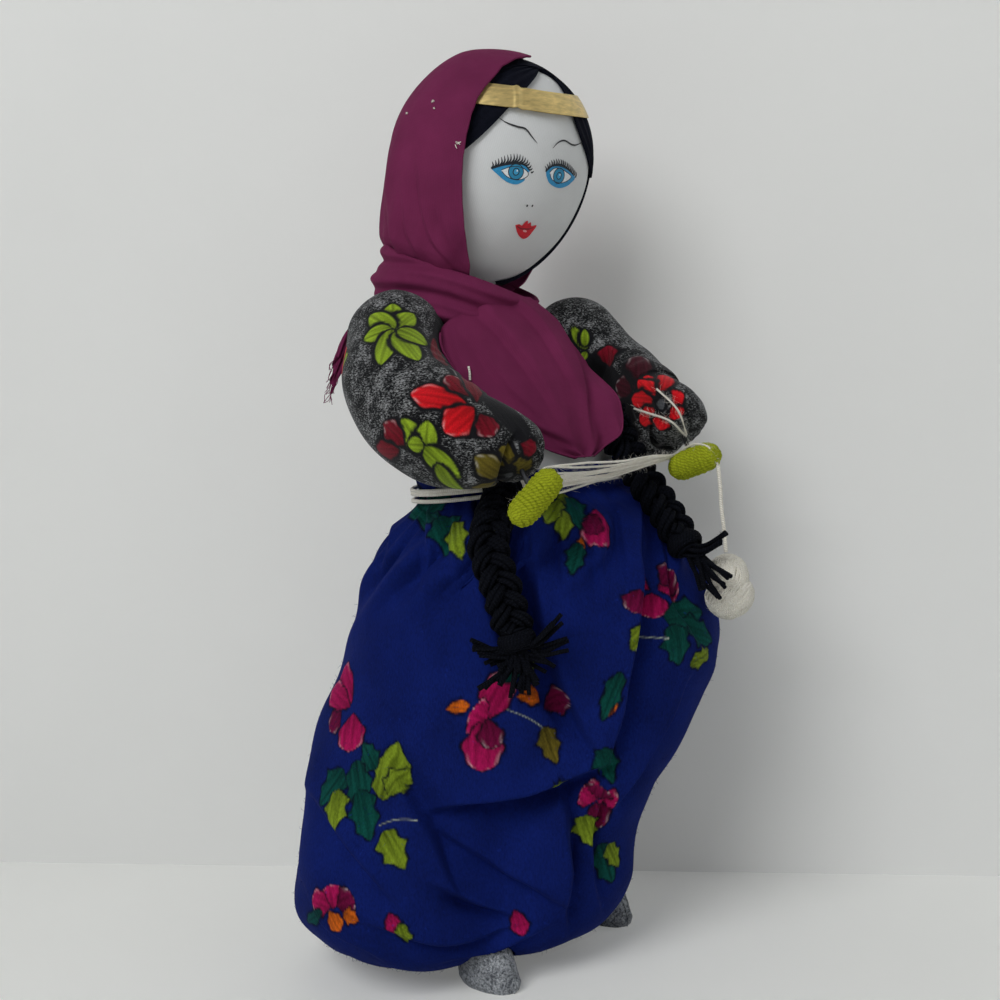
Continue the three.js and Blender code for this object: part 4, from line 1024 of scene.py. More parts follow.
def add_headband():
    line = flat_curve(BAND_LINE, 60)
    shares = np.linspace(-0.5, 0.5, 9)
    grid = np.stack([on_face(line + (0, share * BAND_HEIGHT), BAND_GROW) for share in shares])
    facing = unit(grid - HEAD_CENTRE)
    kink = sum(rise * bell(line[:, 0] - place, 1.0) for place, rise in BAND_KINKS)
    grid = grid + facing * kink[None, :, None]
    surface = Surface()
    surface.grid(grid)
    surface.grid(grid - facing * FOIL_THICKNESS)
    surface.make("headband_foil", gold_foil, "head", "gold_ribbon", ["headband"])


# Scarf
CLOTH_THICKNESS = 0.7
HEM_RADIUS = 0.45
# Edges of the hood: heights, with places across for the near one and degrees round for the far one
HOOD_EDGE = [(-44.5, -12.5), (-37, -15.7), (-31.6, -19.1), (-24, -23.2), (-15, -26.8), (-7, -29.3),
             (1, -30.9), (9, -31.8), (17, -31.5), (24, -30.1), (29, -27.8), (33, -25.2), (39, -20.8),
             (44.5, -13.6), (47.5, -7.5), (49.3, -1.5), (49.6, 0.0)]
HOOD_FAR_EDGE = [(-44.5, 15), (-20, 14), (10, 14), (30, 20), (40, 40), (44.5, 58), (47.5, 72), (49.3, 80)]
# Pixels of each fold of the hood, with its rise, dip and widths
HOOD_FOLDS = [
    ([(416, 170), (422, 215), (433, 245), (450, 264)], 1.5, 1.5, 16, 11),
    ([(438, 205), (448, 240), (462, 266)], 1.2, 1.2, 12, 9),
    ([(386, 205), (390, 240), (402, 262)], 1.1, 1.2, 12, 9),
    ([(400, 190), (406, 235), (420, 262)], 1.0, 1.1, 11, 8),
    ([(456, 150), (458, 200), (466, 255)], 0.8, 0.9, 9, 9),
]
HOOD_TOP = HEAD_HALF[2] + HOOD_GROW
HOOD_FOOT, HOOD_TUCK = -48.0, 6.0
# How far the hood sinks toward the hair on its far side, and the share of it at its top
HOOD_SETTLE, POLE_SETTLE = 2.4, 0.4


def hood_rows():
    """Heights of the hood's rows, closer together toward its top."""
    skirt = np.linspace(HOOD_FOOT, 0, 80, endpoint=False)
    return np.concatenate([skirt, HOOD_TOP * np.sin(np.linspace(0, 1.56, 100))])[:, None]


def hood_longitudes(height, share):
    """How far round the head each point lies, from the near edge round the back to the far edge."""
    wide = (HEAD_HALF[0] + HOOD_GROW) * swell_at(rise_at(height, HOOD_GROW), True)
    near = -np.arccos(np.clip(read_off(HOOD_EDGE, height) / wide, -1, 1))
    far = np.radians(read_off(HOOD_FAR_EDGE, height)) - 2 * np.pi
    return near + (far - near) * share


def hood_grid():
    """Points and outward normals of the hood."""
    height = hood_rows()
    share = np.linspace(0, 1, 240)[None]
    longitude = hood_longitudes(height, share)
    folds = ease(-height, -14, 44) * (0.8 * np.sin(9 * longitude + height / 15)
                                      + 0.5 * np.sin(17 * longitude - height / 11))
    pole = ease(height, 40, 49)
    slack = 0.35 * np.sin(5 * longitude + height / 8) * (1 - pole)
    tuck = HOOD_TUCK * ease(-height, 36, -HOOD_FOOT)
    far_side = ease(share, 0.78, 1.0) * ease(height, 15, 38)
    settled = HOOD_SETTLE * (far_side + (POLE_SETTLE - far_side) * pole)
    grow = HOOD_GROW + folds * 0.8 + slack - tuck - settled
    crown = np.maximum(height, 0)
    level = height + crown * ((HEAD_HALF[2] + grow) / HOOD_TOP - 1)
    points = from_head(egg(longitude, level, grow, True))
    normals = grid_normals(points, False)
    outward = np.sign(((points - HEAD_CENTRE) * normals).sum(-1).mean())
    points = folded(points, normals * outward, HOOD_FOLDS)
    return points, grid_normals(points, False) * outward


def cloth(surface, points, normals):
    """The two faces of a thin cloth."""
    surface.grid(points)
    surface.grid(points - normals * CLOTH_THICKNESS)


def add_hood():
    points, normals = hood_grid()
    surface = Surface()
    cloth(surface, points, normals)
    middle = points - normals * CLOTH_THICKNESS / 2
    rim = np.vstack([middle[:, 0], middle[-1, 1:-1:8], middle[::-1, -1]])
    surface.tube(evenly(rim, 300), HEM_RADIUS, 8)
    surface.tube(evenly(middle[0], 200), HEM_RADIUS, 6)
    hood = surface.make("scarf_hood_cloth", plum_cloth, "head", "plum_cloth", ["scarf_hood"])


COLLAR_RADIUS, COLLAR_INNER = 32.0, 20.0
COLLAR_FOOT, COLLAR_TOP, COLLAR_LIP = -15.85, 4.15, 9.0
# Section of the collar: distance from the neck's axis and height, up the outside and down the inside
COLLAR_SECTION = [
    (COLLAR_INNER + 1, COLLAR_FOOT + 6), (COLLAR_RADIUS - 4, COLLAR_FOOT), (COLLAR_RADIUS, COLLAR_FOOT + 4),
    (COLLAR_RADIUS + 1.5, (COLLAR_FOOT + COLLAR_TOP) / 2), (COLLAR_RADIUS + 1.5, COLLAR_TOP - 2),
    (COLLAR_RADIUS + 1, COLLAR_LIP - 1), (COLLAR_RADIUS - 0.2, COLLAR_LIP),
    (COLLAR_RADIUS - 1, COLLAR_LIP - 2.5), (COLLAR_RADIUS - 5, COLLAR_TOP - 6),
    (COLLAR_INNER + 1, COLLAR_TOP - 9),
]


def collar_grid():
    """Scarf wound round the neck over the foot of the hood, with folds that climb round it."""
    angle = circle(260)
    section = flat_curve(COLLAR_SECTION, 90)
    radius, height = section[:, :1], section[:, 1:]
    climb = ease(height, COLLAR_FOOT, COLLAR_LIP)
    front = bell(np.angle(np.exp(1j * (angle + np.pi / 2))), 0.75)
    wander = 1.3 * np.sin(angle - 0.5) + 0.8 * np.sin(3 * angle + 1)
    level = height + climb * (wander - 0.8 * front)
    phase = height / 1.9 + 3.2 * np.sin(angle - 0.9) + 0.9 * np.sin(3 * angle)
    folds = 1.15 * np.sin(phase) + 0.5 * np.sin(2.3 * phase + 2 * angle)
    outside = ease(radius, COLLAR_INNER + 3, COLLAR_RADIUS - 3)
    reach = radius + folds * outside
    return from_neck(np.stack([reach * np.cos(angle), reach * np.sin(angle), level], -1))


FALL_ROWS, FALL_COLUMNS = 90, 80
FALL_BELLY, FALL_FOLD, FALL_BOW = 6.0, 1.0, 13.0
# Half widths of the falls: how far down, and how wide there
CHEST_LEFT = [(0, 13), (0.06, 20), (0.13, 31), (0.25, 38), (0.45, 38), (0.65, 34), (0.82, 25), (0.94, 14),
              (1, 5)]
CHEST_RIGHT = [(0, 14), (0.12, 19), (0.3, 22), (0.5, 23), (0.7, 22), (0.85, 18), (0.95, 11), (1, 4)]
BACK_HALF = [(0, 27), (0.2, 29), (0.5, 27), (0.7, 23), (0.85, 16), (0.95, 9), (1, 4)]
# The way each fall faces, its tip, its top from the neck's base, and its half widths
CHEST_FALL = (-1, (4.5, -47.5, 199.0), (2.0, -31.0, -7.0), CHEST_LEFT, CHEST_RIGHT)
BACK_FALL = (1, (-3.0, 27.0, 212.0), (3.0, 29.0, -11.0), BACK_HALF, BACK_HALF)
HEM_START = 16


def half_widths(levels):
    """Half width of a fall at each of its rows, through a few levels of how far down and how wide."""
    line = flat_curve([(down, 0.01 * half) for down, half in levels], 300)
    return 100 * np.interp(np.linspace(0, 1, FALL_ROWS), line[:, 0], line[:, 1])[:, None]


def fall_grid(facing, tip, top, left_levels, right_levels):
    """A hanging end of the scarf from under the collar to a rounded tip, folded and bowed over the body."""
    down = np.linspace(0, 1, FALL_ROWS)[:, None]
    across = np.linspace(-1, 1, FALL_COLUMNS)[None]
    start = NECK_BASE + top
    middle = start + (np.array(tip) - start) * down
    half = np.where(across < 0, half_widths(left_levels), half_widths(right_levels))
    bow = FALL_BOW * across ** 2 * (1 - 0.75 * down) * half / half.max()
    fold = FALL_FOLD * down * np.cos(2.5 * np.pi * across)
    ripple = 0.7 * np.sin(6.5 * across + 3.4 * down)
    ripple = ripple * (0.3 + 0.7 * np.sin(np.pi * down)) * np.cos(2.2 * across)
    belly = FALL_BELLY * np.sin(np.pi * down)
    x = middle[:, :1] + half * across
    y = middle[:, 1:2] + facing * (belly - bow - fold + ripple)
    z = middle[:, 2:] + 0 * across
    return np.stack([x, y, z], -1)


SLEEVE_CLEAR = 1.2


def clear_of_sleeves(points):
    """Moves cloth out of the sleeves that it meets."""
    flat = points.reshape(-1, 3).copy()
    for name in ARMS:
        line = sleeve_route(name, 60)
        radius = sleeve_radius(np.linspace(0, 1, 60)) + SLEEVE_CLEAR
        gaps = np.linalg.norm(flat[:, None] - line[None], axis=2)
        nearest = (gaps - radius[None]).argmin(1)
        offset = flat - line[nearest]
        distance = np.linalg.norm(offset, axis=1)
        inside = distance < radius[nearest]
        flat[inside] = line[nearest][inside] + unit(offset[inside]) * radius[nearest][inside][:, None]
    return flat.reshape(points.shape)


PLAIT_COVER = 1.2


def over_plait(points):
    """Lifts the chest fall over the top of the left plait."""
    line = braid_line("left", 150)
    line = line[line[:, 2] > CHEST_FALL[1][2] - 12]
    flat = points.reshape(-1, 3).copy()
    beside = np.abs(flat[:, None, 0] - line[None, :, 0])
    apart = beside + 2 * np.abs(flat[:, None, 2] - line[None, :, 2])
    nearest = apart.argmin(1)
    aside = beside[np.arange(len(flat)), nearest]
    front = line[nearest, 1] - BRAID_HALF_DEPTH - PLAIT_COVER
    share = ease(BRAID_HALF_WIDTH + 4 - aside, 0, 8) * ease(line[0, 2] + 8 - flat[:, 2], 0, 16)
    flat[:, 1] -= np.maximum(flat[:, 1] - front, 0) * share
    return flat.reshape(points.shape)


# Pixels of each fold of the chest fall, with its rise, dip and widths
FALL_FOLDS = [
    ([(446, 300), (452, 345), (478, 392), (540, 440)], 2.2, 2.0, 22, 14),
    ([(425, 272), (470, 300), (520, 355), (560, 420)], 2.4, 2.0, 30, 22),
    ([(478, 282), (530, 318), (576, 392)], 2.0, 1.8, 24, 18),
    ([(592, 430), (580, 370), (552, 315)], 1.6, 2.0, 16, 12),
    ([(500, 408), (540, 430), (578, 446)], 2.0, 1.8, 16, 12),
    ([(462, 330), (500, 380), (545, 425)], 1.6, 1.4, 18, 12),
]


def add_wrap():
    surface = Surface()
    surface.grid(collar_grid(), closed=True)
    pieces = []
    for fall in (CHEST_FALL, BACK_FALL):
        points = clear_of_sleeves(fall_grid(*fall))
        normals = grid_normals(points, False)
        normals = normals * np.sign(normals[..., 1].mean() * fall[0])
        if fall[0] < 0:
            points = over_plait(folded(points, normals, FALL_FOLDS))
        cloth(surface, points, normals)
        edge = np.vstack([points[HEM_START:, 0], points[-1], points[:HEM_START:-1, -1]])
        surface.tube(evenly(edge, 240), HEM_RADIUS, 8)
        pieces.append(points)
    wrap = surface.make("scarf_wrap_cloth", plum_cloth, "torso", "plum_cloth", ["scarf_wrap"])
    return pieces[0]


TAIL_ROUTE = [(-31, 30, 258), (-42, 29, 255), (-53, 28, 249), (-60, 27, 240)]
TAIL_WIDTH_AIM, TAIL_FOLD_AIM = np.array([0.35, 0.15, 0.92]), np.array([-0.3, 0.95, 0.0])
TAIL_HEM = 0.6
FRAYS, FRAY_AIM, FRAY_RADIUS = 26, np.array([-3.0, -0.5, -5.5]), 0.14


def add_frays(surface, end):
    """Loose threads that hang from the end of the tail."""
    for number in range(FRAYS):
        root = end[int(number * (len(end) - 1) / (FRAYS - 1))]
        reach = FRAY_AIM * random.uniform(0.5, 1.0) + random.normal(0, 1.1, 3)
        middle = root + reach * 0.5 + random.normal(0, 0.6, 3)
        surface.tube(curve([root, middle, root + reach], 8), FRAY_RADIUS, 4)


def add_tail():
    line = curve(TAIL_ROUTE, 50)
    share = np.linspace(0, 1, len(line))[:, None]
    across = np.linspace(-1, 1, 24)[None]
    half = 5 + 4 * np.sin(2.4 * share)
    fold = np.sin(7 * across + 4 * share)
    points = line[:, None] + (half * across)[..., None] * TAIL_WIDTH_AIM + fold[..., None] * TAIL_FOLD_AIM
    surface = Surface()
    cloth(surface, points, grid_normals(points, False))
    for column in (0, -1):
        surface.tube(points[:, column], TAIL_HEM, 6)
    add_frays(surface, points[-1])
    tail = surface.make("scarf_tail_cloth", plum_cloth, "torso", "plum_cloth", ["scarf_tail"])


# Torso: half width, half depth, height and middle of each level
TORSO_LEVELS = [(32, 25, 146, 0, -10), (41, 31, 168, 0, -10), (42, 32, 190, 0, -10), (39, 31, 212, -2, -8),
                (33, 28, 233, -4, -5), (25, 22, 250, -6.5, 0), (14, 14, 261, -8.5, 6),
                (10.5, 10.5, 272, -9, 9)]
SHOULDER_MID = np.array([-1.5, 0.0, 248.0])
SHOULDER_SLOPE = math.radians(3.9)
SHOULDER_AXIS = np.array([math.cos(SHOULDER_SLOPE), 0, -math.sin(SHOULDER_SLOPE)])
SHOULDER_HALF_SPAN = 44.5
ARMHOLE_OFFSET, ARMHOLE_RADIUS, ARMHOLE_CLEAR = 25.2, 23.0, 0.6


def flat_at_armholes(points):
    """Presses the body flat where the sleeves are sewn on."""
    offset = points - SHOULDER_MID
    along = offset @ SHOULDER_AXIS
    away = np.linalg.norm(offset - along[..., None] * SHOULDER_AXIS, axis=-1)
    inside = (np.abs(along) > ARMHOLE_OFFSET) & (away < ARMHOLE_RADIUS)
    flattened = np.where(inside, np.sign(along) * ARMHOLE_OFFSET, along)
    return points + (flattened - along)[..., None] * SHOULDER_AXIS


def add_torso():
    levels = curve(TORSO_LEVELS, 110)
    angle = circle(150)
    half_width, half_depth, height, middle_x, middle_y = (levels[:, k:k + 1] for k in range(5))
    pucker = 1 + 0.012 * np.sin(9 * angle + height / 7) * np.sin(height / 13)
    x = middle_x + half_width * pucker * np.cos(angle)
    y = middle_y + half_depth * pucker * np.sin(angle)
    surface = Surface()
    surface.grid(flat_at_armholes(np.stack([x, y, height + 0 * angle], -1)), closed=True, caps=True)
    torso = surface.make("torso_cloth", white_cloth, "torso", "white_cloth", ["torso"])


# Arms: bends on the way from the shoulder to the wrist, the wrist, and the aims of its neck and its hand
ARMS = {
    "right": {"side": -1, "bends": [(-56, -13, 234), (-58, -31, 220), (-50, -47, 210)],
              "wrist": (-38.2, -60.1, 200.6), "neck_aim": (-0.118, -0.64, -0.753),
              "hand_aim": (0.68, -0.28, 0.675)},
    "left": {"side": 1, "bends": [(47, -7, 233), (49, -18, 222), (48.5, -36, 212)],
             "wrist": (49, -53, 205.5), "neck_aim": (-0.19, -0.6, -0.77),
             "hand_aim": (0.14, -0.958, 0.25)},
}
SHOULDER_RADIUS, SLEEVE_RADIUS, WRIST_RADIUS = 19.0, 21.0, 15.0
NECK_LENGTH = 17.0
HAND_RADIUS, HAND_HALF_LENGTH = 5.7, 12.5
SLEEVE_ROWS, SLEEVE_COLUMNS = 230, 290
SLEEVE_END = 4
# How far the rings that close a sleeve's two ends have turned in
DOME_TURNS = np.linspace(math.radians(88), math.radians(4), 26)
END_TURNS = np.linspace(math.radians(12), math.radians(86), 18)


def shoulder(name):
    return SHOULDER_MID + SHOULDER_AXIS * ARMS[name]["side"] * SHOULDER_HALF_SPAN


def wrist(name):
    return np.array(ARMS[name]["wrist"], float)


def neck_aim(name):
    return unit(ARMS[name]["neck_aim"])


def hand_place(name):
    return wrist(name) + neck_aim(name) * NECK_LENGTH


def sleeve_route(name, count):
    before = wrist(name) - neck_aim(name) * 5
    return curve([shoulder(name), *ARMS[name]["bends"], before, wrist(name)], count)


def sleeve_radius(share):
    swelled = SHOULDER_RADIUS + (SLEEVE_RADIUS - SHOULDER_RADIUS) * ease(share, 0, 0.35)
    taper = swelled + (WRIST_RADIUS - swelled) * ease(share, 0.6, 0.95)
    return taper * (1 - 0.3 * np.maximum(0, (share - 0.82) / 0.18) ** 2)


def sleeve_swell(share, angle, facing):
    """Radius of a sleeve: its stuffing, the wrinkles inside the elbow and the gathers at its end."""
    elbow = bell(share - 0.5, 0.2) * np.clip(facing, 0, 1)
    wrinkles = -1.1 * elbow * (0.5 + 0.5 * np.cos(62 * share + 1.4 * np.sin(2 * angle)))
    lumps = 0.35 * np.sin(3 * angle + 11 * share) * np.sin(9 * share) + 0.25 * np.sin(5 * angle - 17 * share)
    drawn = -0.5 * ease(share, 0.9, 1.0) * (0.5 + 0.5 * np.cos(14 * angle))
    return sleeve_radius(share) + wrinkles + lumps + drawn


def sleeve_end(middle, depth, ring, radius, turns):
    """Rings that close one end of a sleeve."""
    rings = []
    for turn in turns:
        rings.append(middle + depth * math.sin(turn) + ring * radius[:, None] * math.cos(turn))
    return np.array(rings)


def sleeve_grid(name):
    """A stuffed sleeve: a round shoulder, the bent arm, and an end that is drawn in."""
    line = sleeve_route(name, SLEEVE_ROWS)
    tangents, normals, across = line_frames(line)
    share = np.linspace(0, 1, SLEEVE_ROWS)[:, None]
    angle = circle(SLEEVE_COLUMNS)
    bend_side = unit(np.gradient(tangents, axis=0).mean(0) + 1e-6)
    facing = np.cos(angle) * (normals @ bend_side)[:, None] + np.sin(angle) * (across @ bend_side)[:, None]
    radius = sleeve_swell(share, angle, facing)
    ring = rings_round(normals, across, angle)
    dome = sleeve_end(line[0], -tangents[0] * SHOULDER_RADIUS, ring[0], radius[0], DOME_TURNS)
    end = sleeve_end(line[-1], tangents[-1] * SLEEVE_END, ring[-1], radius[-1], END_TURNS)
    return np.concatenate([dome, line[:, None] + ring * radius[..., None], end], 0)


def inside_armhole(points, name):
    """Keeps a sleeve on its own side of the armhole."""
    side = ARMS[name]["side"]
    along = (points - SHOULDER_MID) @ SHOULDER_AXIS * side
    short = np.maximum(ARMHOLE_OFFSET + ARMHOLE_CLEAR - along, 0)
    return points + short[..., None] * SHOULDER_AXIS * side


RELIEF_RADIUS = 23.5
FLAT_INSIDE = {"left": 41.5}


def flat_inside(points, name):
    """Flattens the inside of a sleeve that swings past a plait."""
    if name not in FLAT_INSIDE:
        return points
    side = ARMS[name]["side"]
    offset = points - SHOULDER_MID
    along = offset @ SHOULDER_AXIS * side
    away = np.linalg.norm(offset - (along * side)[..., None] * SHOULDER_AXIS, axis=-1)
    short = np.maximum(FLAT_INSIDE[name] - along, 0) * ease(away, RELIEF_RADIUS - 2, RELIEF_RADIUS + 3)
    return points + short[..., None] * SHOULDER_AXIS * side


# Print of the sleeves, with painted shade along their insides, in runs: kind, colour, and the pixels of both
# ends and half width of each stroke
SLEEVE_PRINT_AND_SHADE = {
    "right": [
        # Painted shade, not print: two dark bands along the inside of the near sleeve, beside the scarf
        ("petal", "black_and_shade", [(446, 306, 474, 392, 4.5), (462, 372, 530, 436, 4.0)]),
        ("blade", "leaf", [(392, 326, 391, 300, 5.0), (392, 326, 416, 311, 4.6), (392, 326, 368, 312, 4.6),
                           (390, 326, 362, 336, 4.6), (390, 326, 378, 362, 4.6), (394, 328, 418, 356, 4.8),
                           (396, 326, 430, 342, 4.4)]),
        ("petal", "red", [(467, 399, 410, 389, 5.0), (476, 404, 442, 430, 5.4)]),
        ("petal", "blood", [(483, 411, 496, 434, 4.4), (470, 392, 449, 371, 4.4),
                            (478, 398, 470, 372, 3.6)]),
        ("blade", "leaf", [(424, 458, 398, 420, 4.6), (424, 458, 425, 418, 4.2), (420, 450, 458, 482, 4.4),
                           (436, 468, 462, 497, 3.4), (420, 448, 404, 446, 3.0)]),
        ("petal", "olive", [(508, 478, 506, 446, 3.8), (506, 478, 478, 460, 4.2), (505, 482, 472, 492, 3.8),
                            (510, 478, 534, 462, 3.8), (506, 484, 496, 506, 3.6)]),
        ("petal", "black_and_shade", [(501, 480, 516, 480, 3.6)]),
        ("petal", "smoke", [(504, 479, 513, 480, 1.6)]),
        ("petal", "blood", [(400, 446, 380, 424, 4.4), (396, 452, 374, 452, 3.6)]),
        ("blade", "blood", [(448, 362, 438, 336, 3.2)]),
        ("petal", "blood", [(520, 440, 540, 452, 3.0)]),
    ],
    "left": [
        # Painted shade, not print: two wide dark bands over the inside of the far sleeve
        ("petal", "black_and_shade", [(586, 352, 640, 470, 13.0), (600, 400, 668, 462, 9.0)]),
        ("blade", "leaf", [(584, 346, 572, 324, 2.4), (582, 344, 586, 326, 1.8),
                           (584, 348, 580, 358, 1.5)]),
        ("petal", "blood", [(606, 366, 604, 345, 3.4)]),
        ("petal", "maroon", [(640, 382, 620, 366, 5.6), (640, 376, 638, 352, 5.0),
                             (628, 392, 612, 384, 4.4)]),
        ("petal", "red", [(656, 392, 650, 372, 3.6), (662, 392, 668, 372, 3.6), (652, 396, 634, 380, 3.4),
                          (650, 402, 628, 400, 3.4), (652, 408, 636, 422, 3.6), (660, 412, 656, 432, 3.4),
                          (668, 406, 684, 418, 3.2), (668, 398, 682, 390, 3.2)]),
        ("petal", "black_and_shade", [(650, 402, 669, 400, 4.4)]),
        ("petal", "smoke", [(655, 401, 665, 400, 2.2)]),
    ],
}

FLOWER = ([("blade", "leaf", way, 0.2, 1.5, 0.34) for way in (20, 150, 265)]
          + [("petal", "red", way, 0.2, 1.0, 0.36) for way in (0, 60, 120, 180, 240, 300)]
          + [("petal", "black_and_shade", 0, -0.3, 0.3, 0.28)])
LEAF_SPRIG = ([("blade", "leaf", way, 0.05, 1.1, 0.34) for way in (90, 140, 40, 190, -10)]
              + [("blade", "leaf", way, 0.05, 1.0, 0.3) for way in (240, 300)])
# Sprigs on the hidden sides: compass angle, height, size and turn
SLEEVE_BEHIND = {
    "right": [(118, 240, 11, 10, FLOWER), (80, 252, 9, 60, LEAF_SPRIG), (95, 220, 9, 30, LEAF_SPRIG)],
    "left": [(20, 228, 11, 0, FLOWER), (50, 232, 9, 40, LEAF_SPRIG), (5, 206, 9, 100, LEAF_SPRIG)],
}
# Pixels of each crease, with its depth and width
SLEEVE_CREASES = {
    "right": [([(440, 312), (456, 350), (470, 384)], 1.0, 2.2),
              ([(362, 420), (392, 436), (420, 430)], 0.7, 2.4)],
    "left": [([(560, 330), (590, 352), (608, 380)], 0.8, 2.4)],
}
SLEEVE_EDGE = (1.9, "black_and_shade")


def sleeve_cloth_grid(name):
    return flat_inside(inside_armhole(sleeve_grid(name), name), name)


def add_sleeves():
    for name in ARMS:
        points = sleeve_cloth_grid(name)
        normals = outward_normals(points)
        for pixels, depth, width in SLEEVE_CREASES[name]:
            points = crease(points, normals, pixels, depth, width)
        # The print, and the dark bands of painted shade along the inside of the sleeve
        paint = printed(points, normals, SLEEVE_PRINT_AND_SHADE[name], SLEEVE_EDGE)
        paint_behind(paint, points, normals, SLEEVE_BEHIND[name], SLEEVE_EDGE)
        surface = Surface()
        surface.grid(points, closed=True, caps=True, paint=paint)
        sleeve = surface.make(f"sleeve_{name}_cloth", sleeve_cloth, f"arm_{name}", "sleeve_print",
                              [f"sleeve_{name}"])


def fuzz(surface, lines, radius, count, reach, thick=0.05):
    """Fine fibres that stand off a few lines of yarn or cloth."""
    for _ in range(count):
        line = lines[random.integers(len(lines))]
        place = int(random.integers(1, len(line) - 1))
        away = unit(random.normal(0, 1, 3))
        root = line[place] + away * radius * 0.8
        drift = unit(line[place + 1] - line[place - 1]) * random.normal(0, reach * 0.6)
        tip = root + away * reach * random.uniform(0.4, 1.0) + drift
        middle = (root + tip) / 2 + random.normal(0, reach * 0.15, 3)
        surface.tube(np.array([root, middle, tip]), (thick, thick * 0.8, thick * 0.3), 3)


# Hands: yarn wound across a small bar, by the turns, tilt and start of each layer
HAND_YARN = 0.95
HAND_LAYERS = [(14, 0.0, 0.0), (13, 0.9, 1.3), (12, -0.8, 2.6)]
FIRST_LAYER_IN, LAYER_FATTER, LAYER_SHORTER = 0.75, 0.4, 0.25
WINDING_STEPS = 22
HAND_SHAKE = 0.13
HAND_CORE_GAP = 0.6


def winding(half_length, radius, turns, tilt, phase):
    """Turns of yarn along local X over a bar with round ends."""
    reach, around = half_length - HAND_YARN, radius - HAND_YARN
    flat = max(0.0, half_length - radius)
    run = np.linspace(-1, 1, turns * WINDING_STEPS + 1)
    angle = 2 * np.pi * turns * (run + 1) / 2 + phase
    x = 0.97 * reach * run + tilt * np.sin(angle)
    x = np.clip(x, -0.985 * reach, 0.985 * reach)
    past = np.maximum(np.abs(x) - flat, 0) / (reach - flat)
    across = around * np.sqrt(np.maximum(1 - past ** 2, 0.02))
    return np.stack([x, across * np.sin(angle), across * np.cos(angle)], 1)


def bobbin(half_length, radius):
    """The round-ended bar under a winding, along local X."""
    turn = np.linspace(-1.5, 1.5, 30)[:, None]
    angle = circle(24)
    flat = half_length - radius
    x = radius * np.sin(turn) + flat * np.sin(turn)
    across = radius * np.cos(turn) ** 0.7
    return np.stack(np.broadcast_arrays(x, across * np.sin(angle), across * np.cos(angle)), -1)


def hand_axes(name):
    """Directions along the bar of a hand, aside of it and back to the wrist, as columns."""
    along = unit(ARMS[name]["hand_aim"])
    back = -unit(neck_aim(name) - along * neck_aim(name).dot(along))
    return np.column_stack([along, np.cross(back, along), back])


def add_hands():
    for name in ARMS:
        axes, centre = hand_axes(name), hand_place(name)
        surface = Surface()
        lines = []
        for layer, (turns, tilt, phase) in enumerate(HAND_LAYERS):
            half_length = HAND_HALF_LENGTH - LAYER_SHORTER * layer
            radius = HAND_RADIUS - FIRST_LAYER_IN + LAYER_FATTER * layer
            local = winding(half_length, radius, turns, tilt, phase)
            line = (local + random.normal(0, HAND_SHAKE, local.shape)) @ axes.T + centre
            lines.append(line)
            surface.tube(line, HAND_YARN, 7, lay=2.2)
        core = bobbin(HAND_HALF_LENGTH - HAND_CORE_GAP, HAND_RADIUS - HAND_CORE_GAP)
        surface.grid(core @ axes.T + centre, closed=True, caps=True)
        fuzz(surface, lines, HAND_YARN, 260, 1.5)
        surface.make(f"hand_yarn_{name}", lime_yarn, f"arm_{name}", "lime_yarn",
                     [f"hand_winding_{name}", f"hand_core_{name}"])


# Skein between the hands, the strand that hangs from it, and the small ball
YARN_RADIUS = 0.8
SKEIN_STRANDS, SKEIN_YARN = 9, 0.42
SKEIN_BACK = 0.95 * HAND_RADIUS
# Shares of the way between the hands where a strand wanders
SKEIN_WANDER = (0.25, 0.5, 0.78)
# Pixels of the loose strands on the left sleeve, and how far they lie off it
LOOSE_STRANDS = [[(689, 438), (677, 412), (656, 385)], [(688, 440), (668, 424), (645, 414), (630, 410)]]
LOOSE_LIFT = 1.0
# The strand over the left hand: places along its bar, and shares aside and back of how high it rides
HAND_CROSSING = [(-8.0, 0, 0.95), (-2.0, -0.3, 1), (5.0, -0.6, 0.8), (10.5, -0.5, 0.3)]
SEAT = 0.35
STRAND_LENGTH = 34.0
STRAND_WAVER = [(0.1, 0, -8), (-0.15, 0.1, -17), (0.1, 0, -26)]
BALL_RADIUS, BALL_YARN = 13.2, 0.5
BALL_TURN = turn_about(Z, math.radians(-36))
# Lobes of the ball: height of the middle, half sizes, lean of the loops and their number
BALL_LOBES = [(4.2, (8.0, 7.8, 8.4), 0.15, 64), (-3.6, (9.4, 8.8, 9.0), 0.8, 80)]
BALL_CORE = 0.92


def skein_lines():
    """Strands from behind the right hand, gathered at the back of the left one, a little slack on the way."""
    lines = []
    near, far = hand_axes("right"), hand_axes("left")
    for share in np.linspace(0, 1, SKEIN_STRANDS):
        along = -6.0 + 16.5 * share + random.normal(0, 0.7)
        start = hand_place("right") + near @ np.array([along, 0, SKEIN_BACK])
        behind = start + near @ np.array([-2.0, 0, -1.5])
        end = hand_place("left") + far @ np.array([-9.0 + 2.5 * share, 0, SKEIN_BACK])
        past = end + far @ np.array([2.0, 0, 0.8])
        slack = np.array([0, random.normal(0, 0.8), -random.uniform(-0.4, 2.6)])
        middle = []
        for way in SKEIN_WANDER:
            straight = start + (end - start) * way
            middle.append(straight + slack * math.sin(math.pi * way) + random.normal(0, 0.5, 3))
        lines.append(curve([behind, start, *middle, end, past], 70))
    return lines


def loose_lines():
    """Strands from the left hand that lie back over its sleeve."""
    points = sleeve_cloth_grid("left").reshape(-1, 3)
    return [route_on(points, pixels, 40) - CAMERA_FORWARD * LOOSE_LIFT for pixels in LOOSE_STRANDS]


def strand_top():
    """Where the strand leaves the left hand."""
    top = hand_place("left") + unit(ARMS["left"]["hand_aim"]) * (HAND_HALF_LENGTH - YARN_RADIUS)
    return top - (0, 0, 0.85 * HAND_RADIUS)


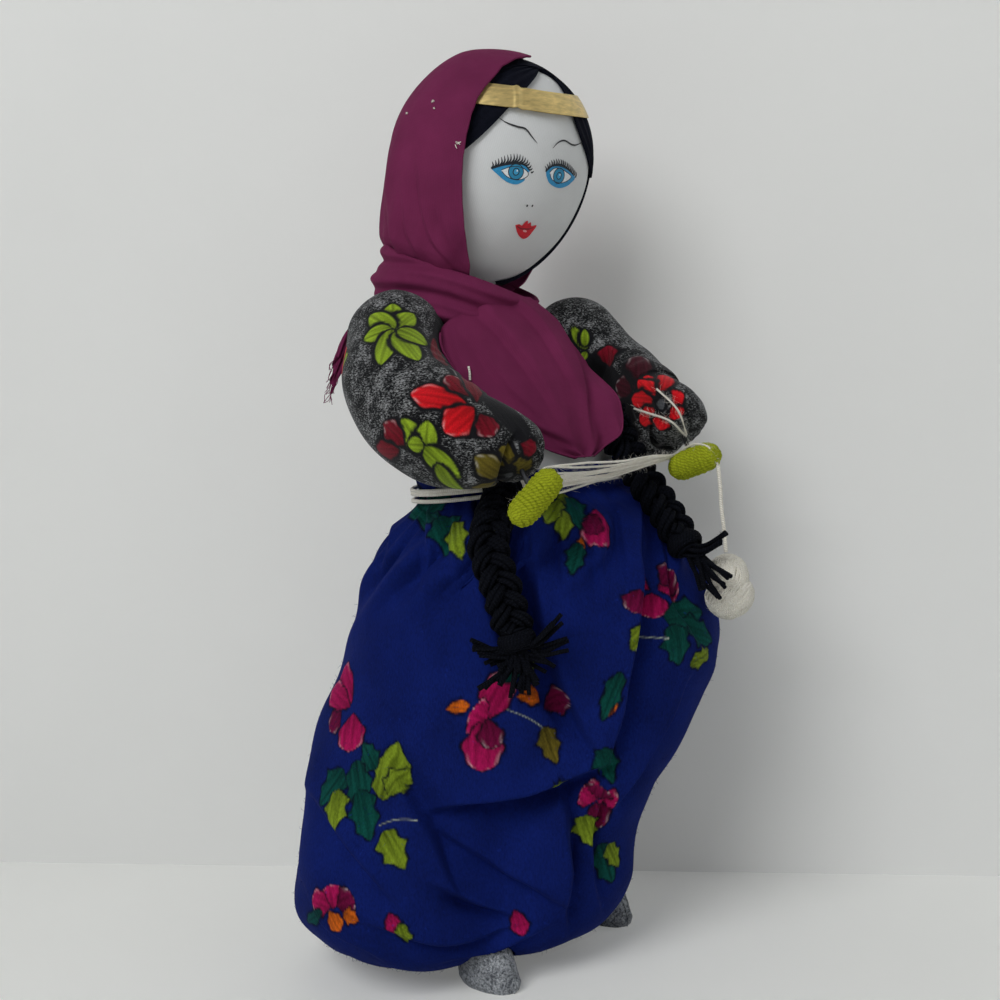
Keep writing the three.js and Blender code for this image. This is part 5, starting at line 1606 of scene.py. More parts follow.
def over_hand():
    """The strand that runs over the left hand to where it hangs."""
    axes, centre = hand_axes("left"), hand_place("left")
    high = HAND_RADIUS + SKEIN_YARN
    places = []
    for along, aside, back in HAND_CROSSING:
        places.append(axes @ np.array([along, aside * high, back * high]) + centre)
    return curve([*places, strand_top()], 50)


def add_skein():
    surface = Surface()
    lines = [*skein_lines(), *loose_lines(), over_hand()]
    for line in lines:
        surface.tube(line, SKEIN_YARN, 8, lay=1.4)
    fuzz(surface, lines, SKEIN_YARN, 1500, 3.2, 0.035)
    surface.make("skein_yarn", cream_yarn, "arm_right", "cream_yarn", ["skein"])


def ball_lines():
    """Loops of yarn round two lobes, upright above and slanting below."""
    lines = []
    angle = np.linspace(0, 2 * np.pi, 48)[:, None]
    for height, half, lean, count in BALL_LOBES:
        for _ in range(count):
            spin = turn_about(Z, random.uniform(-1.2, 1.2))
            turn = spin @ turn_about(Y, lean + random.normal(0, 0.16))
            first, second = turn @ np.array([0, 1.0, 0]), turn @ np.array([0, 0, 1.0])
            shift = turn @ np.array([random.uniform(-0.45, 0.45), 0, 0])
            ring = shift + math.sqrt(1 - shift @ shift) * (first * np.cos(angle) + second * np.sin(angle))
            lines.append(ring * np.array(half) * random.uniform(0.93, 1.0) + (0, 0, height))
    return lines


def add_ball(centre):
    surface = Surface()
    lines = [line @ BALL_TURN.T + centre for line in ball_lines()]
    for line in lines:
        surface.tube(line, BALL_YARN, 6, lay=1.8)
    for height, half, _, _ in BALL_LOBES:
        core = bobbin(1, 1) * np.array(half) * BALL_CORE + (0, 0, height)
        surface.grid(core @ BALL_TURN.T + centre, closed=True, caps=True)
    fuzz(surface, lines, BALL_YARN, 260, 1.8, 0.045)
    return surface.make("yarn_ball_wound", cream_yarn, "yarn_ball", "cream_yarn",
                        ["yarn_ball_core", "yarn_ball_winding"])


def add_strand_and_ball():
    top = strand_top()
    route = [top, *(top + place for place in STRAND_WAVER), top - (0, 0, STRAND_LENGTH)]
    path = curve(route, 30)
    surface = Surface()
    surface.tube(path, YARN_RADIUS, 8, lay=1.8)
    strand = surface.make("hanging_yarn", cream_yarn, "yarn_ball", "cream_yarn", ["yarn_strand"])
    ball = add_ball(top - (0, 0, STRAND_LENGTH + BALL_RADIUS + SEAT))


# Booties, and how their toe, width and length change with the share of their height
BOOTIE_HEIGHT, SOLE_HALF_WIDTH, SOLE_HALF_LENGTH, TOE_REACH = 22.0, 8.5, 17.0, 4.0
TOE_SHARES = [(0, 1), (0.12, 1), (0.4, 0.9), (0.7, 0.6), (1, 0.6)]
WIDTH_SHARES = [(0, 0.88), (0.12, 1), (0.4, 1), (0.7, 0.98), (1, 1)]
LENGTH_SHARES = [(0, 0.92), (0.12, 1), (0.4, 0.9), (0.7, 0.68), (1, 0.53)]
BOOTIE_CLEAR = 0.8
FEET = {"right": np.array([-47.0, -17.5, 0.0]), "left": np.array([28.0, 3.5, 0.0])}
HIP_OUT, HIP_Y, HIP_HEIGHT = 19.0, -9.0, 140.0


def hip(name):
    return np.array([HIP_OUT * ARMS[name]["side"], HIP_Y, HIP_HEIGHT])


def ankle(name):
    return FEET[name] + (0, 0, BOOTIE_HEIGHT + SEAT)


# Trousers: half width, half depth, height, middle and turn of each level
WAIST_HALF_WIDTH, WAIST_HALF_DEPTH, WAIST_Y = 44.8, 34.8, -10
WAIST_TOP, WAIST_CORD_HEIGHT, BAND_FOOT = 196, 190, 186.0
TROUSERS = np.array([
    (WAIST_HALF_WIDTH, WAIST_HALF_DEPTH, WAIST_TOP, 0, WAIST_Y, 0),
    (WAIST_HALF_WIDTH, WAIST_HALF_DEPTH, BAND_FOOT, 0, WAIST_Y, 0),
    (60, 50, 172, 1, WAIST_Y, 0), (71.5, 61, 146, 2.6, -7.7, -24), (77.4, 66, 122, 0.7, -4, -36),
    (77.8, 67, 98, -7.8, 2.3, -36), (75.8, 66, 75, -15.8, 6.3, -36), (71.8, 63, 50, -28, 10.8, -36),
    (69, 58, 28, -34, 12, -36), (57, 48, 13, -35, 11, -36), (34, 29, 6, -35, 11, -36),
    (5, 4, 4.5, -35, 11, -36)], float)
# The compass angle of the dip between the legs
DIP_WAY = math.radians(-78)


def drape(angle, height):
    """How far the cloth stands out, with gathers, drapes and the dip between the legs."""
    gather = bell(height - 163, 12) * 0.045 * np.cos(15 * angle)
    low = ease(BAND_FOOT - height, 38, 118)
    off = np.angle(np.exp(1j * (angle - DIP_WAY)))
    return 1 + gather - 0.17 * low * bell(off, 0.3) + 0.035 * low * np.cos(4 * angle + height / 16)


def pleats(angle, height):
    """Small gathers under the waist, uneven from one to the next."""
    uneven = angle + 0.12 * np.sin(3 * angle) + 0.05 * np.sin(8 * angle)
    upper = ease(height, 150, 176) * ease(WAIST_TOP - height, 2, 12)
    return upper * (0.012 * np.cos(41 * uneven) + 0.01 * np.cos(26 * uneven + 1))


def trouser_levels(count):
    """The levels joined smoothly, at equal steps down the cloth."""
    dense = np.linspace(0, len(TROUSERS) - 1, 1200)
    whole = np.minimum(dense.astype(int), len(TROUSERS) - 2)
    share = (dense - whole)[:, None]
    rows = np.vstack([2 * TROUSERS[0] - TROUSERS[1], TROUSERS, 2 * TROUSERS[-1] - TROUSERS[-2]])
    before, start, end, after = rows[whole], rows[whole + 1], rows[whole + 2], rows[whole + 3]
    square = (2 * before - 5 * start + 4 * end - after) * share ** 2
    cubic = (3 * start - before - 3 * end + after) * share ** 3
    levels = 0.5 * (2 * start + (end - before) * share + square + cubic)
    levels[:, 2] = np.minimum.accumulate(levels[:, 2])
    return evenly(levels, count)


def trouser_point(level, angle, gap=0.0):
    """A point of the cloth, or a gap outside it, at an angle of one of its levels."""
    half_width, half_depth, height, x, y, turn = (level[..., k] for k in range(6))
    reach = drape(angle, height) + pleats(angle, height)
    across = (half_width * reach + gap) * np.cos(angle)
    deep = (half_depth * reach + gap) * np.sin(angle)
    ahead, aside = np.cos(np.radians(turn)), np.sin(np.radians(turn))
    places = x + ahead * across - aside * deep, y + aside * across + ahead * deep, height
    return np.stack(np.broadcast_arrays(*places), -1)


def beside_trousers(compass, height, gap):
    """A point beside the cloth at a compass angle and a height."""
    heights = -TROUSERS[:, 2]
    level = np.array([np.interp(-height, heights, TROUSERS[:, k]) for k in range(6)])
    return trouser_point(level, compass - math.radians(level[5]), gap)


# Pixels of each fold, how high its left side stands, how deep its right side dips, and how wide each is
TROUSER_FOLDS = [
    ([(528, 515), (535, 600), (560, 685), (604, 768)], 4.5, 6.5, 40, 30),
    ([(606, 768), (626, 690), (638, 620), (642, 525)], 5.0, 10.0, 40, 26),
    ([(440, 812), (505, 798), (560, 786), (608, 766)], 5.5, 11.0, 46, 26),
    ([(556, 722), (505, 645), (480, 560), (474, 496)], 4.0, 6.0, 56, 28),
    ([(569, 916), (573, 850), (562, 788)], 4.5, 9.0, 36, 24),
    ([(456, 892), (430, 830), (404, 784), (388, 745)], 3.5, 5.0, 42, 34),
    ([(442, 890), (470, 903), (500, 912)], 4.5, 9.0, 22, 11),
    ([(436, 832), (500, 870), (566, 906)], 2.6, 4.5, 30, 18),
    ([(370, 926), (440, 945), (510, 926)], 2.4, 4.0, 26, 16),
    ([(626, 800), (655, 745), (684, 690)], 4.0, 6.0, 30, 20),
    ([(648, 818), (690, 740), (716, 664)], 2.6, 5.5, 26, 18),
    ([(602, 900), (598, 850), (606, 796)], 3.0, 5.0, 18, 14),
    ([(312, 796), (350, 850), (400, 910)], 2.2, 3.6, 30, 22),
    ([(704, 648), (676, 600), (666, 545)], 2.6, 4.5, 26, 18),
    ([(300, 880), (322, 925), (372, 955)], 1.6, 3.0, 24, 16),
    ([(398, 500), (384, 564)], 1.6, 2.2, 11, 10), ([(428, 502), (424, 580)], 1.6, 2.4, 13, 10),
    ([(452, 505), (452, 576)], 1.4, 2.2, 12, 10), ([(556, 506), (562, 600)], 1.6, 2.4, 13, 10),
    ([(584, 504), (600, 610)], 1.6, 2.4, 13, 10), ([(614, 502), (628, 590)], 1.6, 2.4, 12, 9),
    ([(452, 962), (495, 948), (540, 930)], 5.0, 0.0, 26, 8),
]
# Print of the trousers in runs: kind, colour, and the pixels of both ends and half width of each stroke
TROUSER_PRINT = [
    ("leaf", "deep_green", [(436, 520, 410, 505, 5.0), (440, 512, 452, 548, 6.2)]),
    ("leaf", "lime", [(450, 520, 462, 562, 4.7)]),
    ("leaf", "deep_green", [(428, 506, 446, 492, 4.5)]),
    ("leaf", "lime", [(568, 492, 562, 536, 4.9)]),
    ("leaf", "deep_green", [(572, 494, 582, 526, 4.0)]),
    ("leaf", "lime", [(560, 496, 548, 520, 3.4)]),
    ("petal", "magenta", [(598, 506, 602, 545, 6.0)]),
    ("petal", "rose_dark", [(594, 510, 588, 532, 3.5)]),
    ("petal", "orange", [(584, 534, 580, 556, 2.0)]),
    ("leaf", "deep_green", [(582, 540, 574, 572, 3.4)]),
    ("petal", "magenta", [(348, 702, 340, 668, 7.0), (350, 712, 345, 752, 8.2)]),
    ("petal", "rose_dark", [(338, 708, 326, 730, 5.8)]),
    ("petal", "magenta", [(346, 706, 330, 686, 5.2)]),
    ("leaf", "deep_green", [(352, 762, 358, 812, 7.2), (356, 790, 366, 842, 6.3),
                            (340, 770, 316, 806, 6.3)]),
    ("leaf", "lime", [(378, 800, 394, 742, 6.9), (384, 796, 406, 770, 4.5), (334, 790, 332, 834, 5.2)]),
    ("line", "pale", [(376, 826, 420, 818, 0.3)]),
    ("leaf", "lime", [(380, 832, 402, 872, 5.6)]),
    ("leaf", "deep_green", [(372, 770, 360, 744, 4.5)]),
    ("petal", "magenta", [(330, 908, 326, 884, 6.8)]),
    ("petal", "rose_dark", [(334, 906, 350, 898, 5.5)]),
    ("petal", "magenta", [(326, 908, 308, 900, 5.2)]),
    ("petal", "orange", [(326, 912, 336, 932, 4.0)]),
    ("leaf", "orange", [(340, 914, 356, 924, 2.9)]),
    ("leaf", "deep_green", [(318, 912, 304, 924, 2.9)]),
    ("petal", "magenta", [(386, 914, 396, 938, 3.0)]),
    ("leaf", "lime", [(396, 926, 406, 946, 2.7)]),
    ("petal", "magenta", [(480, 726, 508, 676, 5.8), (484, 724, 466, 712, 7.0), (482, 724, 480, 774, 7.2)]),
    ("petal", "rose_dark", [(488, 724, 496, 752, 4.5)]),
    ("petal", "orange", [(520, 700, 542, 694, 3.6), (522, 694, 530, 684, 2.8)]),
    ("petal", "rose_dark", [(548, 706, 566, 702, 5.5)]),
    ("line", "pale", [(510, 712, 552, 736, 0.3)]),
    ("leaf", "olive", [(546, 730, 560, 766, 4.0)]),
    ("petal", "orange", [(442, 710, 466, 706, 2.2)]),
    ("leaf", "deep_green", [(500, 684, 522, 664, 2.9)]),
    ("leaf", "lime", [(524, 668, 536, 656, 2.7)]),
    ("petal", "magenta", [(650, 586, 646, 562, 6.5), (654, 590, 656, 618, 7.2)]),
    ("petal", "rose_dark", [(644, 590, 636, 610, 5.8)]),
    ("petal", "magenta", [(660, 586, 682, 584, 5.8)]),
    ("petal", "rose_dark", [(664, 582, 672, 566, 4.8)]),
    ("leaf", "deep_green", [(668, 616, 706, 612, 6.7), (676, 624, 682, 668, 6.3),
                            (690, 622, 716, 640, 5.6)]),
    ("leaf", "lime", [(634, 650, 652, 626, 4.7)]),
    ("line", "pale", [(640, 650, 672, 638, 0.3)]),
    ("leaf", "lime", [(694, 666, 712, 648, 3.6)]),
    ("petal", "orange", [(618, 682, 612, 718, 2.4)]),
    ("leaf", "deep_green", [(622, 676, 606, 722, 3.4), (604, 752, 616, 786, 4.9)]),
    ("leaf", "lime", [(556, 790, 570, 796, 2.7)]),
    ("petal", "magenta", [(594, 802, 578, 788, 5.8), (596, 804, 616, 810, 5.8)]),
    ("petal", "rose_dark", [(594, 800, 604, 784, 5.2), (594, 806, 600, 832, 5.0)]),
    ("leaf", "lime", [(582, 818, 594, 850, 4.9)]),
    ("leaf", "deep_green", [(604, 846, 616, 884, 5.6)]),
    ("leaf", "lime", [(612, 846, 622, 868, 3.4)]),
    ("petal", "magenta", [(516, 914, 520, 938, 3.2)]),
]
ROSE = ([("leaf", "deep_green", way, 0.4, 1.9, 0.42) for way in (200, 245, 330, 20)]
        + [("leaf", "lime", way, 0.5, 1.7, 0.3) for way in (285, 150)]
        + [("petal", "magenta", way, 0.0, 1.0, 0.5) for way in (30, 110, 190, 270, 340)]
        + [("petal", "rose_dark", way, 0.0, 0.5, 0.26) for way in (70, 200, 320)]
        + [("petal", "orange", 100, 0.9, 1.5, 0.22), ("line", "pale", 330, 1.2, 2.6, 0.05)])
# Roses on the hidden sides: compass angle, height, size and turn
ROSES_BEHIND = [(60, 150, 11, 0), (110, 112, 12, 50), (20, 110, 11, 200), (70, 70, 12, 120),
                (122, 62, 11, 20), (96, 28, 10, 70), (20, 52, 11, 30), (125, 152, 10, 160),
                (-12, 150, 9, 80), (30, 22, 9, 300)]
TROUSER_EDGE = (0.8, "night")
TROUSER_ROWS, TROUSER_COLUMNS = 380, 700
BAND_ROWS, BAND_THICKNESS = 14, 1.2
NAP_FIBRES = 4000
# Cuffs: height and radius at the top of each, and both at the foot
CUFFS = {"right": (24.0, 12.5), "left": (80.0, 14.0)}
CUFF_FOOT, CUFF_RADIUS = 15.0, 12.0


def outside_booties(points):
    """Marks the cloth that stays outside both booties."""
    keep = np.ones(points.shape[:2], bool)
    x, y, height = (points[..., k] for k in range(3))
    rise = np.clip(height / BOOTIE_HEIGHT, 0, 1)
    toe = TOE_REACH * read_off(TOE_SHARES, rise)
    wide = SOLE_HALF_WIDTH + BOOTIE_CLEAR
    long = (SOLE_HALF_LENGTH + BOOTIE_CLEAR) * read_off(LENGTH_SHARES, rise)
    for foot in FEET.values():
        inside = ((x - foot[0]) / wide) ** 2 + ((y - foot[1] + toe) / long) ** 2 < 1
        keep &= ~(inside & (height < BOOTIE_HEIGHT - 1))
    return keep


def cuff_grid(name):
    """The gathered end of a trouser leg round the ankle."""
    top, radius = CUFFS[name]
    height = np.linspace(top, CUFF_FOOT, 40)[:, None]
    angle = circle(120)
    share = np.minimum(1, 1.25 * (top - height) / (top - CUFF_FOOT))
    gathers = 0.45 * share * np.cos(17 * angle + 0.6 * np.sin(3 * angle))
    reach = radius + (CUFF_RADIUS - radius) * share + gathers
    low, high = ankle(name), hip(name)
    along = (height - low[2]) / (high[2] - low[2])
    middle = low + (high - low) * along[..., None]
    return middle + np.stack([reach * np.cos(angle), reach * np.sin(angle), 0 * angle * reach], -1)


def add_cuffs():
    """The cuffs inside the trousers, each on its own leg."""
    pieces = []
    for name in CUFFS:
        surface = Surface()
        surface.grid(cuff_grid(name), closed=True)
        pieces.append(surface.make(f"cuff_{name}_flannel", flannel, f"leg_{name}", "blue_flannel"))
    return pieces


def trouser_grid():
    """Points and outward normals of the trousers, with their folds and small waves."""
    angle = circle(TROUSER_COLUMNS)
    points = trouser_point(trouser_levels(TROUSER_ROWS)[:, None], angle)
    points = folded(points, outward_normals(points), TROUSER_FOLDS)
    normals = outward_normals(points)
    height = points[..., 2]
    waves = 0.5 * np.sin(height / 5 + 3 * np.sin(3 * angle)) * np.sin(7 * angle + height / 30)
    return points + normals * waves[..., None] * ease(180 - height, 0, 30)[..., None], normals


def add_trousers():
    points, normals = trouser_grid()
    paint = printed(points, normals, TROUSER_PRINT, TROUSER_EDGE)
    paint_behind(paint, points, normals, [(*place, ROSE) for place in ROSES_BEHIND], TROUSER_EDGE)
    surface = Surface()
    surface.grid(points, closed=True, paint=paint, keep=outside_booties(points))
    inside = points[:BAND_ROWS] - normals[:BAND_ROWS] * BAND_THICKNESS
    surface.grid(np.concatenate([points[:1], inside], 0), closed=True)
    fuzz(surface, list(points[10:-40:3]), 0.1, NAP_FIBRES, 1.9, 0.06)
    trousers = surface.make("trousers_flannel", flannel, "torso", "blue_flannel", ["trousers"], ride=False)
    add_cuffs()
    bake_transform(trousers)


# Waist cord: its yarn, and how the turns lie on the band
WAIST_CORD_RADIUS = 0.85
WAIST_CORD_OFF = 1.35 + 0.56
WAIST_TURNS, WAIST_TURN_RISE = 3, 2.0


def add_waist_cord():
    turns = np.linspace(0, WAIST_TURNS, 400)
    angle = 2 * np.pi * turns
    slip = 0.5 * np.sin(1.37 * angle + 1) + 0.3 * np.sin(3.1 * angle)
    x = (WAIST_HALF_WIDTH + WAIST_CORD_OFF) * np.cos(angle)
    y = WAIST_Y + (WAIST_HALF_DEPTH + WAIST_CORD_OFF) * np.sin(angle)
    z = WAIST_CORD_HEIGHT + WAIST_TURN_RISE * (turns - WAIST_TURNS / 2) + slip
    line = np.stack([x, y, z], 1)
    surface = Surface()
    surface.tube(line, WAIST_CORD_RADIUS, 8, lay=1.8)
    fuzz(surface, [line], WAIST_CORD_RADIUS, 120, 1.4, 0.045)
    surface.make("waist_yarn", cream_yarn, "torso", "cream_yarn", ["waist_cord"])


# Legs and booties
HIP_RADIUS, ANKLE_RADIUS = 14.0, 8.0
SEAM_RADIUS, SEAM_PROUD, SEAM_ROWS, SEAM_COLUMN = 0.35, 0.2, 40, 67


def bootie_grid(foot):
    rise = np.linspace(0, 1, 50)[:, None]
    angle = circle(90)
    lumps = 1 + 0.012 * np.sin(5 * angle + 9 * rise) + 0.01 * np.sin(11 * angle - 14 * rise)
    wide = SOLE_HALF_WIDTH * read_off(WIDTH_SHARES, rise) * lumps
    long = SOLE_HALF_LENGTH * read_off(LENGTH_SHARES, rise) * lumps
    toe = TOE_REACH * read_off(TOE_SHARES, rise)
    x, y = foot[0] + wide * np.cos(angle), foot[1] - toe + long * np.sin(angle)
    return np.stack([x, y, BOOTIE_HEIGHT * rise + 0 * angle], -1)


def add_feet():
    for name, foot in FEET.items():
        points = bootie_grid(foot)
        surface = Surface()
        surface.grid(points, closed=True, caps=True)
        front = points[:SEAM_ROWS, SEAM_COLUMN]
        seam = np.stack([np.full(SEAM_ROWS, foot[0]), front[:, 1] - SEAM_PROUD, front[:, 2]], 1)
        surface.tube(seam, SEAM_RADIUS, 6)
        surface.make(f"bootie_{name}_felt", grey_felt, f"leg_{name}", "grey_felt", [f"bootie_{name}"])
        add_leg(name)


def add_leg(name):
    share = np.linspace(0, 1, 60)
    line = hip(name) + (ankle(name) - hip(name)) * share[:, None]
    dome = np.sqrt(np.clip(1 - ((0.1 - share) / 0.115) ** 2, 0.02, 1))
    radius = (HIP_RADIUS + (ANKLE_RADIUS - HIP_RADIUS) * share) * np.where(share < 0.1, dome, 1)
    surface = Surface()
    surface.tube(line, radius + 0.3 * np.sin(40 * share), 40)
    leg = surface.make(f"leg_{name}_cloth", padding, f"leg_{name}", "padding", [f"leg_{name}"])


# Plaits
BRAIDS = {
    "right": {"down": [(-28, -33, 226), (-30, -34, 208), (-33, -42, 190)],
              "lies": [(-136, 172), (-133, 156), (-131, 140)]},
    "left": {"down": [(22, -38, 226), (24.5, -43, 206), (32, -47, 188)],
             "lies": [(-58, 176), (-63, 164)]},
}
BRAID_HALF_WIDTH, BRAID_HALF_DEPTH = 7.8, 7.0
PLAIT_PERIOD = 21.0
PLAIT_SKIP = {"right": 4, "left": 22}
PLAIT_FACES = {"right": unit((-0.45, -1.0, 0.1)), "left": unit((0.15, -1.0, 0.1))}
LOCK_RADIUS, LOCK_YARNS, LOCK_TWIST = 2.7, 7, 9
PLAIT_YARN, LOOSE_YARN = 1.02, 0.85
TIE_HEIGHT, TIE_RADIUS, TIE_TURNS = 6.0, 7.4, 6


def braid_line(name, count):
    """Middle line of a plait: down from the scarf, and then along the trousers."""
    lies = []
    for way, height in BRAIDS[name]["lies"]:
        lies.append(beside_trousers(math.radians(way), height, BRAID_HALF_DEPTH + SEAT))
    return curve([*BRAIDS[name]["down"], *lies], count)


def plait_locks(line, toward):
    """Middle lines of the three locks of a plait that lies flat, facing a direction."""
    tangents = unit(np.gradient(line, axis=0))
    face = unit(toward - tangents * (tangents @ toward)[:, None])
    side = np.cross(tangents, face)
    run = run_along(line)
    locks = []
    for number in range(3):
        phase = 2 * np.pi * (run / PLAIT_PERIOD + number / 3)
        across = (BRAID_HALF_WIDTH - LOCK_RADIUS) * np.sin(phase)
        deep = (BRAID_HALF_DEPTH - LOCK_RADIUS - 1.2) * np.sin(2 * phase)
        locks.append(line + side * across[:, None] + face * deep[:, None])
    return locks


def lock_yarns(lock):
    """One yarn in the middle of a lock and the others wound round it."""
    _, normals, across = line_frames(lock)
    run = np.linspace(0, 1, len(lock))
    yarns = []
    for number in range(LOCK_YARNS):
        angle = 2 * np.pi * number / (LOCK_YARNS - 1) + LOCK_TWIST * run + random.normal(0, 0.2)
        reach = 0.0 if number == 0 else LOCK_RADIUS - 0.9
        yarns.append(lock + reach * (normals * np.cos(angle)[:, None] + across * np.sin(angle)[:, None]))
    return yarns


def add_braids():
    for name in BRAIDS:
        line = braid_line(name, 150)[PLAIT_SKIP[name]:]
        surface = Surface()
        yarns = [yarn for lock in plait_locks(line, PLAIT_FACES[name]) for yarn in lock_yarns(lock)]
        for line_of_yarn in yarns:
            surface.tube(line_of_yarn, PLAIT_YARN, 6, lay=2.4)
        fuzz(surface, yarns, 1.0, 260, 1.8, 0.05)
        surface.make(f"braid_{name}_plait", black_yarn, "torso", "black_yarn", [f"braid_{name}"])
        end, way = line[-1], unit(line[-1] - line[-6])
        add_tie(name, end, way)
        add_tassel(name, end + way * (TIE_HEIGHT + SEAT), way)


# Pixels of the tassels' ends, their middle from the tie, and the yarns to each end with their spread
TASSEL_ENDS = {
    "right": [(558, 622), (566, 640), (548, 664), (536, 690), (524, 692), (512, 690), (500, 680), (488, 668),
              (474, 652), (470, 640), (484, 688), (520, 676)],
    "left": [(726, 533), (723, 541), (729, 576), (724, 585), (717, 597), (703, 590)],
}
TASSEL_CENTRE = {"right": np.array([-2.0, -3.0, -17.0]), "left": np.array([-5.0, -14.0, -5.0])}
TASSEL_YARNS = {"right": 4, "left": 3}
TASSEL_SPREAD = {"right": 1.4, "left": 0.5}


def add_tie(name, end, way):
    """Yarn wound round the end of a plait."""
    _, normals, across = line_frames(np.array([end, end + way]))
    turns = np.linspace(0, TIE_TURNS, 150)
    angle = 2 * np.pi * turns
    lift = SEAT + TIE_HEIGHT * (0.08 + 0.84 * turns / TIE_TURNS)
    radius = TIE_RADIUS * (0.72 + 0.16 * np.sin(np.pi * turns / TIE_TURNS))
    out = normals[0] * np.cos(angle)[:, None] + across[0] * np.sin(angle)[:, None]
    surface = Surface()
    surface.tube(end + way * lift[:, None] + radius[:, None] * out, LOOSE_YARN, 7, lay=2.4)
    core = end + way * np.linspace(-1, TIE_HEIGHT + 1, 12)[:, None]
    surface.tube(core, TIE_RADIUS * 0.66, 16)
    surface.make(f"braid_tie_{name}_yarn", black_yarn, "torso", "black_felt", [f"braid_tie_{name}"])


def add_tassel(name, root, way):
    """Loose ends of yarn that fan out below a tie."""
    depth = (root + TASSEL_CENTRE[name] - CAMERA_PLACE) @ CAMERA_FORWARD
    surface = Surface()
    yarns = []
    for pixel in TASSEL_ENDS[name]:
        ray = pixel_ray(*pixel)
        tip = CAMERA_PLACE + ray * (depth / (ray @ CAMERA_FORWARD)) + random.normal(0, 1.0) * CAMERA_FORWARD
        for _ in range(TASSEL_YARNS[name]):
            start = root - way * 2 + random.normal(0, 1.5, 3)
            spot = tip + random.normal(0, TASSEL_SPREAD[name], 3)
            bend = start + way * 3 + (spot - start) * 0.35 + random.normal(0, 0.5, 3)
            strand = curve([start, bend, spot], 24)
            yarns.append(strand)
            surface.tube(strand, LOOSE_YARN, 6, lay=2.4)
    fuzz(surface, yarns, LOOSE_YARN, 200, 1.9, 0.05)
    surface.make(f"tassel_{name}_yarn", black_yarn, "torso", "black_felt", [f"tassel_{name}"])


# Carried-over wires
def dress_wires():
    for name, node in frame["nodes"].items():
        if "wire" in name:
            node.data.materials.clear()
            node.data.materials.append(steel_wire.material)


# Pixels and sizes of the pale specks on the hood, and the pixel of the stitch on the chest
LINT = [(455, 143, 1.5), (430, 100, 0.8), (404, 112, 0.6), (432, 106, 0.5)]
LINT_FIBRES, LINT_RADIUS = 5, 0.16
STITCH_PIXEL, STITCH_HALF, STITCH_RADIUS = (465, 372), 2.6, 0.42


def add_lint():
    surface = Surface()
    points, normals = (grid.reshape(-1, 3) for grid in hood_grid())
    for x, y, size in LINT:
        number = on_sight(points, x, y)
        normal = normals[number]
        place = points[number] + normal * 0.4
        for _ in range(LINT_FIBRES):
            reach = unit(np.cross(normal, random.normal(0, 1, 3))) * size * random.uniform(0.3, 0.7)
            spot = place + random.normal(0, 0.3 * size, 3)
            surface.tube(curve([spot - reach, spot + normal * 0.3, spot + reach], 8), LINT_RADIUS, 5)
    surface.make("hood_lint", cream_yarn, "head", "cream_yarn")


def add_stitch(chest):
    surface = Surface()
    points = chest.reshape(-1, 3)
    place = points[on_sight(points, *STITCH_PIXEL)] + (-0.2, -1.0, 0)
    rise = np.array([0, 0, STITCH_HALF])
    surface.tube(curve([place + rise, place + (0, -0.3, 0), place - rise], 14), STITCH_RADIUS, 7)
    surface.make("chest_stitch", cream_yarn, "torso", "cream_yarn")


# Floor, wall and light, in metres
FLOOR_LOOK = ("floor", seen(236, 237, 234), 0.17)
WALL_LOOK = ("wall", seen(226, 227, 225), 0.15)
WALL_FOOT_PIXELS = ((0, 862), (1000, 876))
STAGE_PAST, FLOOR_DEPTH, WALL_HEIGHT = 3, 5, np.array([0, 0, 4.0])


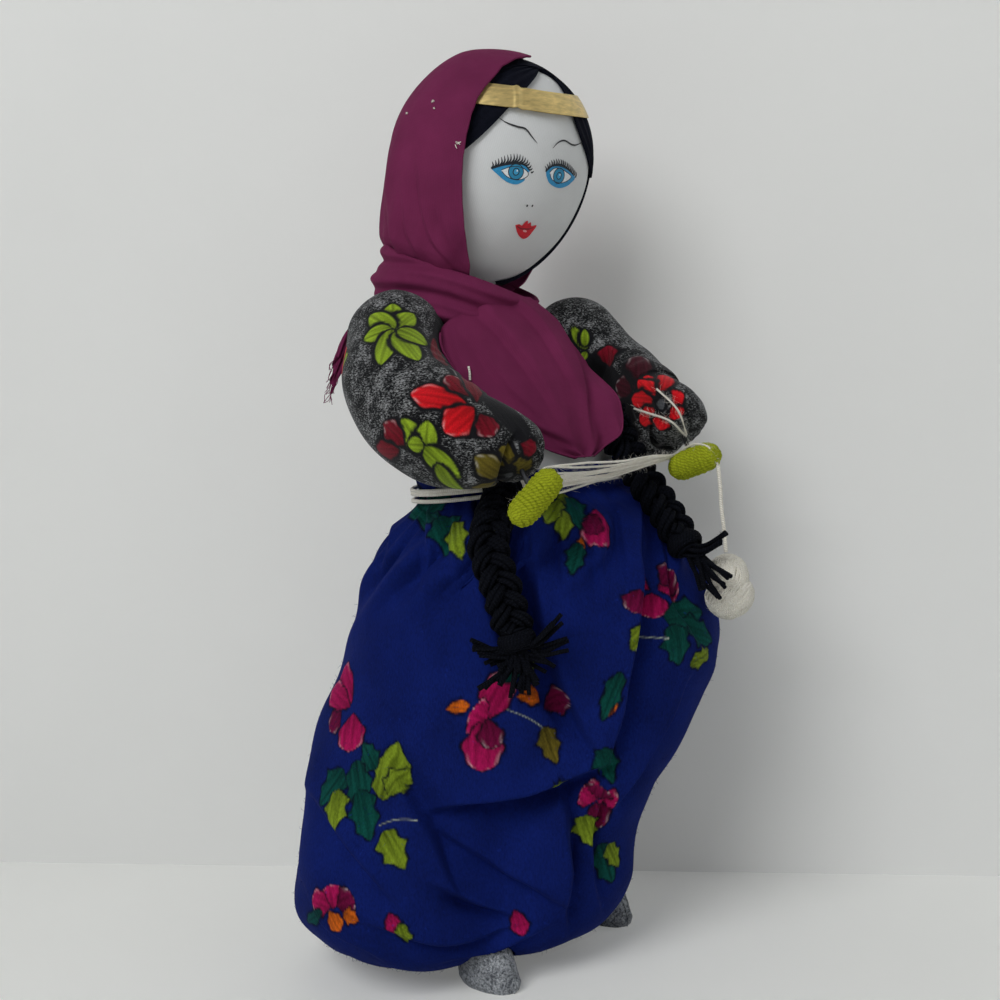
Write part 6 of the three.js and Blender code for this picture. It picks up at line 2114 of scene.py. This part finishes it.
def add_plane(corners, name, colour, glow):
    mesh = bpy.data.meshes.new(name)
    mesh.from_pydata([tuple(corner) for corner in corners], [], [(0, 1, 2, 3)])
    shader = Shader(name, colour, 0.9)
    shader.colour(shader.tones(shader.noise(6), colour, 0.985, 1.015))
    shader.glow(colour, glow)
    shader.open_behind()
    mesh.materials.append(shader.material)
    plane = bpy.data.objects.new(name, mesh)
    bpy.context.scene.collection.objects.link(plane)


def add_stage():
    """A floor and a wall that meet along the line that the picture shows."""
    ends = []
    for pixel in WALL_FOOT_PIXELS:
        ray = pixel_ray(*pixel)
        ends.append(world(CAMERA_PLACE + ray * (-CAMERA_PLACE[2] / ray[2])))
    left, right = ends
    along = unit(right - left)
    left, right = left - along * STAGE_PAST, right + along * STAGE_PAST
    toward = unit(world(CAMERA_PLACE) * (1, 1, 0) - (left + right) / 2 * (1, 1, 0))
    add_plane([right, left, left + toward * FLOOR_DEPTH, right + toward * FLOOR_DEPTH], *FLOOR_LOOK)
    add_plane([left, right, right + WALL_HEIGHT, left + WALL_HEIGHT], *WALL_LOOK)


def add_lamp(name, place, aim, size, power):
    lamp = bpy.data.objects.new(name, bpy.data.lights.new(name, "AREA"))
    bpy.context.scene.collection.objects.link(lamp)
    lamp.data.size = size
    lamp.data.energy = power
    away = unit(np.asarray(place) - np.asarray(aim))
    side = unit(np.cross((0, 0, 1), away))
    turn = np.column_stack([side, np.cross(away, side), away])
    lamp.matrix_world = Matrix.Translation(place) @ Matrix(turn.tolist()).to_4x4()


def add_light():
    middle = (0, 0, 0.18)
    add_lamp("key", (-1.3, -0.6, 1.3), middle, 1.0, 16)
    add_lamp("fill", (0.3, -1.7, 0.8), middle, 1.4, 2)
    world_light = bpy.data.worlds.new("room")
    bpy.context.scene.world = world_light
    world_light.use_nodes = True
    back = world_light.node_tree.nodes["Background"]
    back.inputs["Color"].default_value = seen(236, 238, 240)
    back.inputs["Strength"].default_value = 0.17


def build():
    add_skein()
    add_strand_and_ball()
    add_torso()
    add_head()
    add_face()
    add_hair()
    add_headband()
    add_hood()
    chest = add_wrap()
    add_tail()
    add_sleeves()
    add_hands()
    add_trousers()
    add_waist_cord()
    add_feet()
    add_braids()
    add_lint()
    add_stitch(chest)
    dress_wires()
    add_stage()
    add_light()


build()
bpy.context.scene.view_settings.view_transform = "Standard"
